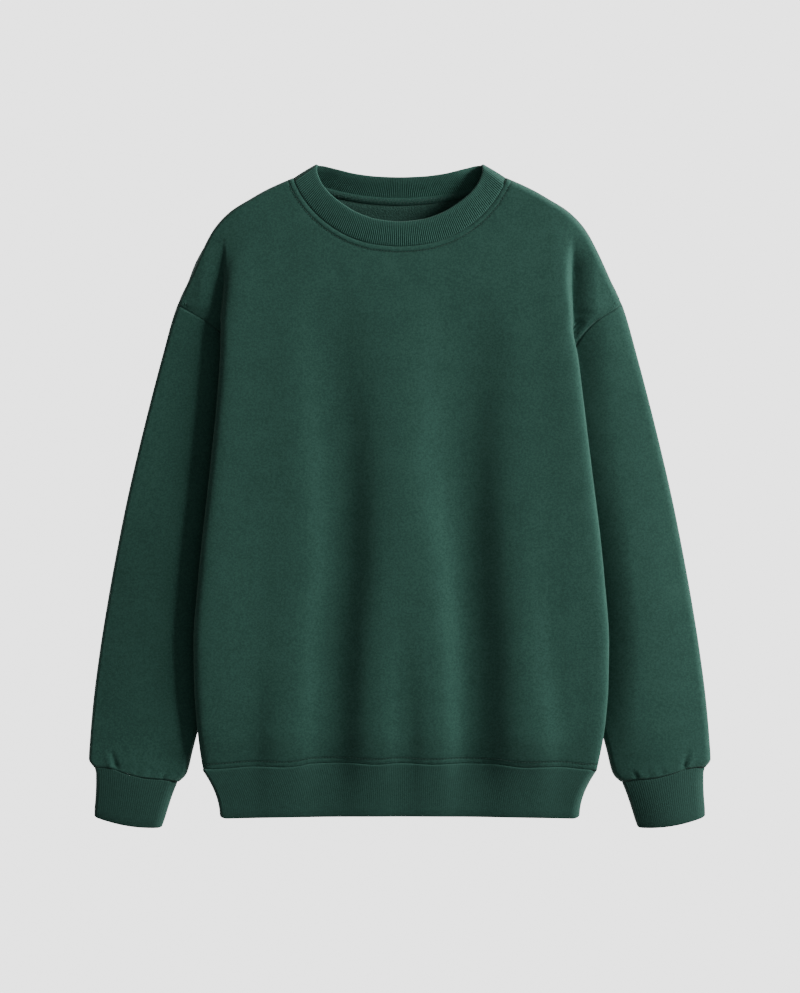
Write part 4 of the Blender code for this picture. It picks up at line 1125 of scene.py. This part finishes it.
def rib_band(wall, ribs, puff, relief):
    """Grid of a doubled rib band: rows round its section, columns round the ring.

    wall holds the band's middle from the seam to the centre of its free edge's turn. With n
    the direction out of the band, the outer face is wall + n (half + puff sin(pi share)
    - groove), pressed at the seam, the free edge a half circle, and the inner face
    wall - n (half - groove). The groove is relief (1 - crest), where crest is
    (0.5 + 0.5 cos(2 pi rib)) to the power 0.8, and it fades towards seam and free edge."""
    first = wall[:1] - (wall[1:2] - wall[:1]) * TUCK / BAND_ROWS[1]
    first[..., 2] -= TUCK_DOWN
    wall = np.concatenate((first, wall))
    down = unit(np.gradient(wall, axis=0))
    out = unit(np.cross(np.roll(wall, -1, axis=1) - np.roll(wall, 1, axis=1), down))
    if out[3, len(ribs) // 4, 2] < 0:
        out = -out
    far = arc(wall, 0)
    share = far / far[-1]
    crest = np.broadcast_to((0.5 + 0.5 * np.cos(2 * np.pi * ribs)) ** 0.8, share.shape)
    groove = relief * (1 - crest) * (1 - 0.85 * ease((share - 0.75) / 0.25)) * ease(far / 3.0 + 0.3)
    half = RIB / 2
    raised = pressed(half + puff * np.sin(np.pi * share) - groove, far, *BAND_PRESS)
    outer = wall + out * raised[..., None]
    radius = (half - groove[-1])[:, None]
    turn = np.array([wall[-1] + down[-1] * radius * np.sin(a) + out[-1] * radius * np.cos(a)
                     for a in EDGE_TURNS])
    inner = (wall - out * (half - groove)[..., None])[::-2]
    grid = np.concatenate((outer, turn, inner))
    grid[..., 2] = np.maximum(grid[..., 2], 0.0)
    travel = np.concatenate((far, far[-1] + half * np.tile(EDGE_TURNS[:, None], len(ribs)),
                             (2 * far[-1] + half * np.pi - far)[::-2]))
    uv = np.stack((np.broadcast_to(ribs * RIB_PITCH, travel.shape), travel), axis=-1)
    return grid, uv, np.broadcast_to(crest[0], travel.shape)


# %% Piece from a rib band
def add_band(name, wall, ribs, puff, relief, contrast, level):
    """A rib band as a closed piece of the garment, with its faces outwards. Its colour is level
    on a rib and less by the contrast in a groove, as painted shade between the ribs. The level,
    lower on hem and cuffs than on the collar of the same yarn, is painted shade as well."""
    grid, uv, crest = rib_band(wall, ribs, puff, relief)
    faces = grid_faces(*grid.shape[:2], closed_rows=True, closed_columns=True)
    # the crest mark carries the painted shade between the ribs and the band's painted level
    mesh = make_mesh(name, grid, faces, uv, {"crest": level - contrast * (1 - crest)})
    a, b, c, d = grid.reshape(-1, 3)[faces].transpose(1, 0, 2)
    if (a * (np.cross(b, c) + np.cross(c, d))).sum() < 0:       # six times its volume
        mesh.flip_normals()
    piece = add_piece(name, mesh, rib_knit)
    print(f"{name}: {int(ribs.max()) + 1} ribs, {len(faces)} faces")
    return piece


# %% Flattened rib tubes
RIB_TURN = 2.6          # a flattened rib tube turns this far above its underside's middle
TUBE_ROLL = (2.2, 9.0)  # width of the roll of its top at the left and at the right
TUBE_FOOT = 5.0         # and of its underside at both


def flat_ring(across, height):
    """Top and bottom lines of a flattened tube, from a line across it, left to right."""
    t = np.linspace(0, 1, len(across))
    floor = RIB / 2
    turn_z = floor + RIB_TURN
    width = np.hypot(*(across[-1] - across[0]))
    sides = rolled(t, width, *TUBE_ROLL)
    feet = rolled(t, width, TUBE_FOOT, TUBE_FOOT)
    top = np.column_stack((across, turn_z + (height(across, t) - turn_z) * sides))
    under = np.column_stack((across, turn_z - (turn_z - floor) * feet))
    return top, under


def tube_wall(plan, height, shares, ribs_across):
    """Rings of a flattened rib tube, one for each share of its depth, and its ribs' numbers."""
    count = ribs_across * RIB_POINTS
    rings = []
    for share in shares:
        top, under = flat_ring(plan(share, np.linspace(0, 1, 3001)), height)
        rings.append(closed_ring(top, under, count, count))
    return np.array(rings), np.arange(2 * count) / RIB_POINTS


def corner(t, width, size, radius):
    """How far a free end draws back at its two corners."""
    return size * (1 - rolled(t, width, radius, radius))


# %% Hem rib
MIDDLE_GAP = 0.3        # between the panel's edge and the band's first row
HEM_EDGE_BOW = 2.4      # the free edge bows up this far in the middle
HEM_CORNER = (3.5, 7.0) # how far it draws back at its corners, and how wide they are
HEM_DEPTH = 59.0        # from the band's first row to its free edge


def hem_plan(share, t):
    """A line across the hem at a share of its depth; its sides draw in as 1 - (1 - share)^2."""
    half = HEM_EDGE_HALF + (HEM_SEAM_HALF - HEM_EDGE_HALF) * (1 - share) ** 2 - RIB / 2
    x = (2 * t - 1) * half
    seam_x = (2 * t - 1) * (HEM_SEAM_HALF - RIB / 2)
    top = hem_seam(seam_x) - MIDDLE_GAP
    bow = HEM_EDGE_BOW * (1 - (x / half) ** 2)
    edge = HEM_EDGE_Y - 0.6 + bow + corner(t, 2 * half, *HEM_CORNER)
    return np.column_stack((x, top + share * (edge - top)))


hem_wall, hem_ribs = tube_wall(hem_plan, lambda p, t: front_height(p[:, 0], p[:, 1]),
                               row_shares(HEM_DEPTH, 8), round(2 * HEM_SEAM_HALF / RIB_PITCH))
hem = add_band("hem_band", hem_wall, hem_ribs, puff=0.4, relief=0.10, contrast=0.10, level=0.55)
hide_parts("hem_rib")


# %% Cuffs
CUFF_CORNER = (1.2, 4.0)
CUFF_DEPTH = 52.0
CUFF_RIBS = 37          # across one face


def cuff_plan(side):
    """Lines across a cuff: its seam carries the seam's slight wave, its free end bows out."""
    def plan(share, t):
        places = {key: float(along(CUFF, "share", share, key)) for key in CUFF if key != "share"}
        outer = np.array((side * (places["outer_x"] - RIB / 2), places["outer_y"]))
        inner = np.array((side * (places["inner_x"] + RIB / 2), places["inner_y"]))
        left, right = (outer, inner) if side < 0 else (inner, outer)
        across = left + t[:, None] * (right - left)
        width = np.hypot(*(right - left))
        from_outer = t if side < 0 else 1 - t
        wave = along(CUFF_WAVE, "share", from_outer, "up") - MIDDLE_GAP
        end = corner(t, width, *CUFF_CORNER) - CUFF_BOW * 4 * t * (1 - t)
        across[:, 1] += (1 - share) * wave + share ** 2 * end
        return across
    return plan


cuffs, cuff_walls = {}, {}
for side, hand in HANDS.items():
    wall, ribs = tube_wall(cuff_plan(side), lambda p, t: cuff_height(t, side),
                           row_shares(CUFF_DEPTH, 7), CUFF_RIBS)
    cuffs[hand] = add_band(f"cuff_band_{hand}", wall, ribs,
                           puff=0.4, relief=0.13, contrast=0.16, level=0.49)
    cuff_walls[hand] = wall
    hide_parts(f"cuff_{hand}")

# %% [markdown]
# ## The collar
#
# The collar is a ring of rib, creased where it lies flat at both shoulders. Its front half lies
# over its back half, whose inside shows through the neck.

# %% Collar
CREASE_OUT = np.array((0.53, 0.85))     # direction that the collar's crease faces, right side
COLLAR_TURN = 4.4                       # height of the crease's outermost line
COLLAR_DEPTH = 27.0
BACK_STAND = 6.0                        # the back half's free edge stands up this far
EDGE_OVER, EDGE_UNDER = 0.8, 1.5        # free edge over its seam in front, under at the crease
FRONT_RIBS, BACK_RIBS = 134, 106


def rim_height(x, y):
    """Height of the front panel near the neck, with its roll at the shoulder's edge."""
    low = seam_low(np.abs(x))
    roll = np.where(x < 0, ROLL[-1], ROLL[1])
    return low + (front_height(x, y) - low) * quarter(edge_distance(np.abs(x), y) / roll)


def collar_plan(tab, end, t):
    """The collar's line for the middle of the wall, half a wall inside the crease."""
    crease_in = (1 - ease(np.minimum(t, 2 - t) / 0.12))[:, None] * RIB / 2
    out = np.column_stack((np.sign(t - 1), np.ones_like(t))) * CREASE_OUT
    return collar_line(tab, end, t) - out * crease_in


def collar_ring(end):
    """One ring of the collar, its seam or its free edge: front half first, then the back.

    In front it rises from the crease's turn to the front panel's height, and the free edge
    lies a little over the seam. Behind it sinks to the surface, and the free edge stands up."""
    t = np.linspace(0, 2, 2401)
    from_crease = np.minimum(t, 2 - t)
    front_line = collar_plan(FRONT_COLLAR, end, t)
    seam_line = collar_plan(FRONT_COLLAR, "seam", t)
    z = rim_height(seam_line[:, 0], seam_line[:, 1])
    if end == "edge":
        middle = ease(from_crease / 0.5)
        z = z + EDGE_OVER * middle - EDGE_UNDER * (1 - middle)
    rise = quarter(from_crease / np.where(t < 1, 0.04, 0.08))
    top = np.column_stack((front_line, COLLAR_TURN + (z - COLLAR_TURN) * rise))
    low = COLLAR_TURN - (COLLAR_TURN - RIB / 2) * quarter(from_crease / 0.06)
    if end == "edge":
        stand = BACK_STAND * ease((from_crease + 0.04) / 0.4)
        low = RIB / 2 + np.maximum(low - RIB / 2, stand)
    under = np.column_stack((collar_plan(BACK_COLLAR, end, t), low))
    return closed_ring(top, under, FRONT_RIBS * RIB_POINTS, BACK_RIBS * RIB_POINTS)


def collar_rows():
    """Rings between the collar's seam and the centre of its free edge's turn."""
    seam, edge = collar_ring("seam"), collar_ring("edge")
    seam = seam + unit(edge - seam) * MIDDLE_GAP
    shares = row_shares(COLLAR_DEPTH, 6)[:, None, None]
    return seam + shares * (edge - seam)


collar_wall = collar_rows()
collar = add_band("collar_band", collar_wall, np.arange(collar_wall.shape[1]) / RIB_POINTS,
                  puff=0.35, relief=0.45, contrast=0.8, level=0.95)
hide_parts("collar")

# %% [markdown]
# ## Neck tape
#
# Inside the back neck a narrow tape covers the seam. It is slightly domed and carries a zigzag
# chain stitch in a paler thread.

# %% Tape
def offset_line(line, distance):
    """A plan line moved sideways to its left by a distance."""
    ahead = np.gradient(line, axis=0)
    left = unit(np.column_stack((-ahead[:, 1], ahead[:, 0])))
    return line + left * np.asarray(distance).reshape(-1, 1)


TAPE_FLOOR = RIB + SEAM_GAP     # the tape lies on the collar's seam edge
TAPE_SIDES = 20         # points round its section
tape_line = collar_line(BACK_COLLAR, "seam", np.linspace(0.22, 1.78, 321))


def tape_grid():
    """A closed section round the tape, carried along its line: flat below, domed above as the
    root of a sine, and sunk to the back panel at the side away from the collar."""
    turn = np.linspace(0, 2 * np.pi, TAPE_SIDES, endpoint=False)
    across = np.cos(turn) * TAPE_WIDTH / 2
    rise = np.sqrt(np.clip(np.sin(turn), 0, 1)) * TAPE
    lower = FLEECE + 0.05 - TAPE_FLOOR
    z = TAPE_FLOOR + rise + lower * ease(-across / 4.2)
    rows = [offset_line(tape_line, a) for a in across]
    return np.dstack((rows, np.repeat(z[:, None], len(tape_line), axis=1)))


tape_points = tape_grid()
tape_uv = np.stack((arc(tape_points, 1), np.broadcast_to(
    np.linspace(0, 2 * TAPE_WIDTH, TAPE_SIDES)[:, None], tape_points.shape[:2])), axis=-1)
# painted shade: the tape's fine ribs show only in its colour, darker in their grooves
tape_crest = 0.7 * (0.75 + 0.25 * np.cos(2 * np.pi * tape_uv[..., 0] / 1.6))    # its fine ribs
first = np.arange(TAPE_SIDES) * len(tape_line)      # the points at the tape's first end
caps = [(end[i], end[i + 1], end[-2 - i], end[-1 - i])
        for end in (first[::-1], first + len(tape_line) - 1) for i in range(TAPE_SIDES // 2 - 1)]
tape_faces = np.concatenate((grid_faces(*tape_points.shape[:2], closed_rows=True), caps))
mesh = make_mesh("tape_band", tape_points, tape_faces, tape_uv, {"crest": tape_crest})
tape = add_piece("tape_band", mesh, rib_knit)
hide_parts("neck_tape")


# %% [markdown]
# ## Sewing
#
# Every stitch is a short piece of thread that bends down into the cloth at both ends. A line of
# stitches is worked out in one go: for each stitch a few rings of points round its arc.

# %% Stitches
STITCH_RINGS, STITCH_SIDES = 7, 6       # a stitch has this many rings of this many points


def stitch_line(path, up, length=2.6, gap=0.7, radius=0.24, rise=0.28):
    """Mesh points and faces of a row of stitches along a path of points in millimetres.

    A stitch follows the path for its length. With e = 2s - 1 and s running from 0 to 1, its
    height over the cloth is rise (1 - e to the 4th) - 2 radius e to the 4th, and it thins
    towards both ends."""
    far = arc(path, 0)
    count = max(1, int(far[-1] / (length + gap)))
    starts = np.arange(count) * (far[-1] / count)
    s = np.linspace(0, 1, STITCH_RINGS)
    at = starts[:, None] + s * length
    centre = np.stack([np.interp(at, far, path[:, k]) for k in range(3)], axis=-1)
    normal = unit(np.stack([np.interp(at, far, up[:, k]) for k in range(3)], axis=-1))
    towards_end = 2 * s - 1
    height = rise * (1 - towards_end ** 4) - 2 * radius * towards_end ** 4
    centre = centre + normal * height[None, :, None]
    side = np.cross(unit(np.gradient(centre, axis=1)), normal)
    turn = np.linspace(0, 2 * np.pi, STITCH_SIDES, endpoint=False)
    thick = radius * np.sqrt(1 - towards_end ** 6 * 0.9)
    points = centre[:, :, None] + thick[None, :, None, None] * (
        np.cos(turn)[:, None] * side[:, :, None] + np.sin(turn)[:, None] * normal[:, :, None])
    first_cap = np.array(((3, 2, 1, 0), (5, 4, 3, 0)))
    last_cap = np.array(((0, 1, 2, 3), (0, 3, 4, 5))) + (STITCH_RINGS - 1) * STITCH_SIDES
    one = np.concatenate((grid_faces(STITCH_RINGS, STITCH_SIDES, closed_columns=True),
                          first_cap, last_cap))
    step = np.arange(count) * STITCH_RINGS * STITCH_SIDES
    faces = (one[None] + step[:, None, None]).reshape(-1, 4)
    uv = np.stack(np.broadcast_arrays(at[:, :, None], turn * radius), axis=-1)
    return points.reshape(-1, 3), faces, uv.reshape(-1, 2)


def surface_ups(points):
    """Upward normals of a grid of points."""
    return unit(np.cross(np.gradient(points, axis=1), np.gradient(points, axis=0)))


def add_stitches(name, lines, material, **sizes):
    """One object from several stitched lines, each a path and its upward directions."""
    points, faces, uv = zip(*(stitch_line(path, up, **sizes) for path, up in lines))
    starts = np.cumsum([0] + [len(p) for p in points])
    faces = np.concatenate([f + start for f, start in zip(faces, starts)])
    mesh = make_mesh(name, np.concatenate(points), faces, np.concatenate(uv))
    print(f"{name}: {starts[-1] // (STITCH_RINGS * STITCH_SIDES)} stitches")
    return add_piece(name, mesh, material)


# %% Topstitching of hem and neck
front_up = surface_ups(front_shape)


def hem_stitch_path():
    """A line on the front's face at the topstitch distance above the hem seam, from one folded
    side to the other."""
    rows = 30                       # these reach past the topstitch
    on_side = FOLD_COLUMNS - 18     # the line runs on round the fold for 18 columns
    visible = np.arange(on_side, front_shape.shape[1] - on_side)
    path, up = (np.array([[np.interp(TOPSTITCH, hem_far[:rows, i], values[:rows, i, k])
                           for k in range(3)] for i in visible])
                for values in (front_shape, front_up))
    return path + up * FLEECE / 2, up


def neck_stitch_path():
    """A line outside the collar's seam, on the front's face."""
    t = np.linspace(0.05, 1.95, 400)
    plan = offset_line(collar_line(FRONT_COLLAR, "seam", t), -TOPSTITCH)
    z = rim_height(plan[:, 0], plan[:, 1])
    keep = edge_distance(np.abs(plan[:, 0]), plan[:, 1]) > 2.0
    up = np.tile((0.0, 0.0, 1.0), (len(plan), 1))
    return np.column_stack((plan, z + FLEECE / 2))[keep], up[keep]


hem_path = hem_stitch_path()
neck_path = neck_stitch_path()
topstitches = add_stitches("topstitching", [hem_path, neck_path], thread)


# %% Zigzag on the tape
def zigzag_path():
    """A line that swings from side to side of the tape, two millimetres for each swing."""
    far = arc(tape_line, 0)
    at = np.linspace(0, far[-1], 1800)
    plan = np.column_stack([np.interp(at, far, tape_line[:, k]) for k in range(2)])
    swing = 2 / np.pi * np.arcsin(np.sin(2 * np.pi * at / 4.0)) * (TAPE_WIDTH / 2 - 1.4)
    plan = offset_line(plan, swing)
    z = TAPE_FLOOR + TAPE * (1 - (swing / (TAPE_WIDTH / 2)) ** 2) ** 0.25
    return np.column_stack((plan, z)), np.tile((0.0, 0.0, 1.0), (len(plan), 1))


tape_stitches = add_stitches("tape_zigzag", [zigzag_path()], tape_thread,
                             length=2.3, gap=0.3, radius=0.16, rise=0.12)

# %% [markdown]
# ## What was cut
#
# Each cloth piece's size as it was cut is measured along the grid and printed.
# A tube counts all round. So does a rib band, from its seam to its free edge; the strip that is
# cut for it is twice as deep, because it is doubled.

# %% Sheets
declare(back, back_points, length=float(np.ptp(back_points[..., 1])) * MM)
declare(front, front_points)


def declare_ring(piece, points):
    """A tube or a band: its cloth all the way round, back to where it starts."""
    declare(piece, np.concatenate((points, points[:, :1]), axis=1))


for hand in HANDS.values():
    declare_ring(sleeves[hand], sleeve_points[hand])
declare_ring(hem, hem_wall)
for hand in HANDS.values():
    declare_ring(cuffs[hand], cuff_walls[hand])
declare_ring(collar, collar_wall)
tape_strip = np.stack([np.column_stack((offset_line(tape_line, s * TAPE_WIDTH / 2),
                                        np.full(len(tape_line), TAPE_FLOOR))) for s in (-1, 1)])
declare(tape, tape_strip)

# %% [markdown]
# ## Floor, light and camera
#
# The garment lies on a plain pale floor that glows a little, as on a light table, so it carries
# hardly any shadow. One soft lamp stands low on the right and rakes across the folds, and the
# pale surroundings fill the rest. The camera hangs straight above with a long lens.

# %% Floor
FLOOR_GLOW = 2.83
FLOOR_HALF, FLOOR_Z = 3000.0, -0.6


def make_floor():
    """A large flat sheet just under the garment."""
    corners = np.array([(x * FLOOR_HALF, y * FLOOR_HALF, FLOOR_Z)
                        for x, y in ((-1, -1), (1, -1), (1, 1), (-1, 1))])
    material, tree, shader = start_material("floor")
    shader.inputs["Base Color"].default_value = (0.04, 0.04, 0.04, 1)
    shader.inputs["Emission Color"].default_value = (1, 1, 1, 1)
    shader.inputs["Emission Strength"].default_value = FLOOR_GLOW
    shader.inputs["Roughness"].default_value = 1.0
    shader.inputs["Specular IOR Level"].default_value = 0.0
    mesh = make_mesh("floor", corners, np.array(((0, 1, 2, 3),)))
    mesh.materials.append(material)
    floor = bpy.data.objects.new("floor", mesh)
    bpy.context.scene.collection.objects.link(floor)
    floor.visible_diffuse = False       # its glow lights nothing
    return floor


floor = make_floor()
print("floor:", floor.name, "at", FLOOR_Z, "mm")


# %% Light
def add_lamp(name, place, target, size, power):
    """A square area lamp that faces a point, in metres and watts."""
    data = bpy.data.lights.new(name, "AREA")
    data.shape = "SQUARE"
    data.size = size
    data.energy = power
    lamp = bpy.data.objects.new(name, data)
    bpy.context.scene.collection.objects.link(lamp)
    direction = np.array(target) - np.array(place)
    lamp.location = place
    yaw = np.arctan2(direction[1], direction[0])
    pitch = np.arctan2(-direction[2], np.hypot(direction[0], direction[1]))
    lamp.rotation_euler = (0, pitch - np.pi / 2, yaw)
    return lamp


def lamp_place(azimuth, elevation, distance):
    """A place by its bearing from the garment's right, its height angle and its distance."""
    a, e = np.radians(azimuth), np.radians(elevation)
    return distance * np.array((np.cos(e) * np.cos(a), np.cos(e) * np.sin(a), np.sin(e)))


LAMP_BEARING, LAMP_ELEVATION, LAMP_DISTANCE = 25.0, 15.5, 4.0     # degrees, degrees, metres
LAMP_SIZE, LAMP_POWER = 1.0, 338.0      # metres and watts
SURROUNDINGS = 0.23                     # strength of the pale fill light

key = add_lamp("key", lamp_place(LAMP_BEARING, LAMP_ELEVATION, LAMP_DISTANCE), (0, 0, 0),
               LAMP_SIZE, LAMP_POWER)
world = bpy.data.worlds.new("surroundings")
bpy.context.scene.world = world
world.use_nodes = True
background = world.node_tree.nodes["Background"]
background.inputs["Color"].default_value = (0.9, 0.9, 0.9, 1)
background.inputs["Strength"].default_value = SURROUNDINGS
print("lamp:", key.name, "at", [round(value, 2) for value in key.location])

# %% Camera
CAMERA_HEIGHT = 3.2
FRAME_TALL = 1.0862     # metres of floor between the view's lower and upper edge


def add_camera():
    """A camera straight above, with the garment's neck towards the upper edge."""
    data = bpy.data.cameras.new("camera")
    data.lens = data.sensor_width * CAMERA_HEIGHT / FRAME_TALL
    camera = bpy.data.objects.new("camera", data)
    bpy.context.scene.collection.objects.link(camera)
    camera.location = (0.0003, 0.0, CAMERA_HEIGHT)
    bpy.context.scene.camera = camera
    return camera


camera = add_camera()
print("lens:", round(camera.data.lens, 1), "mm")
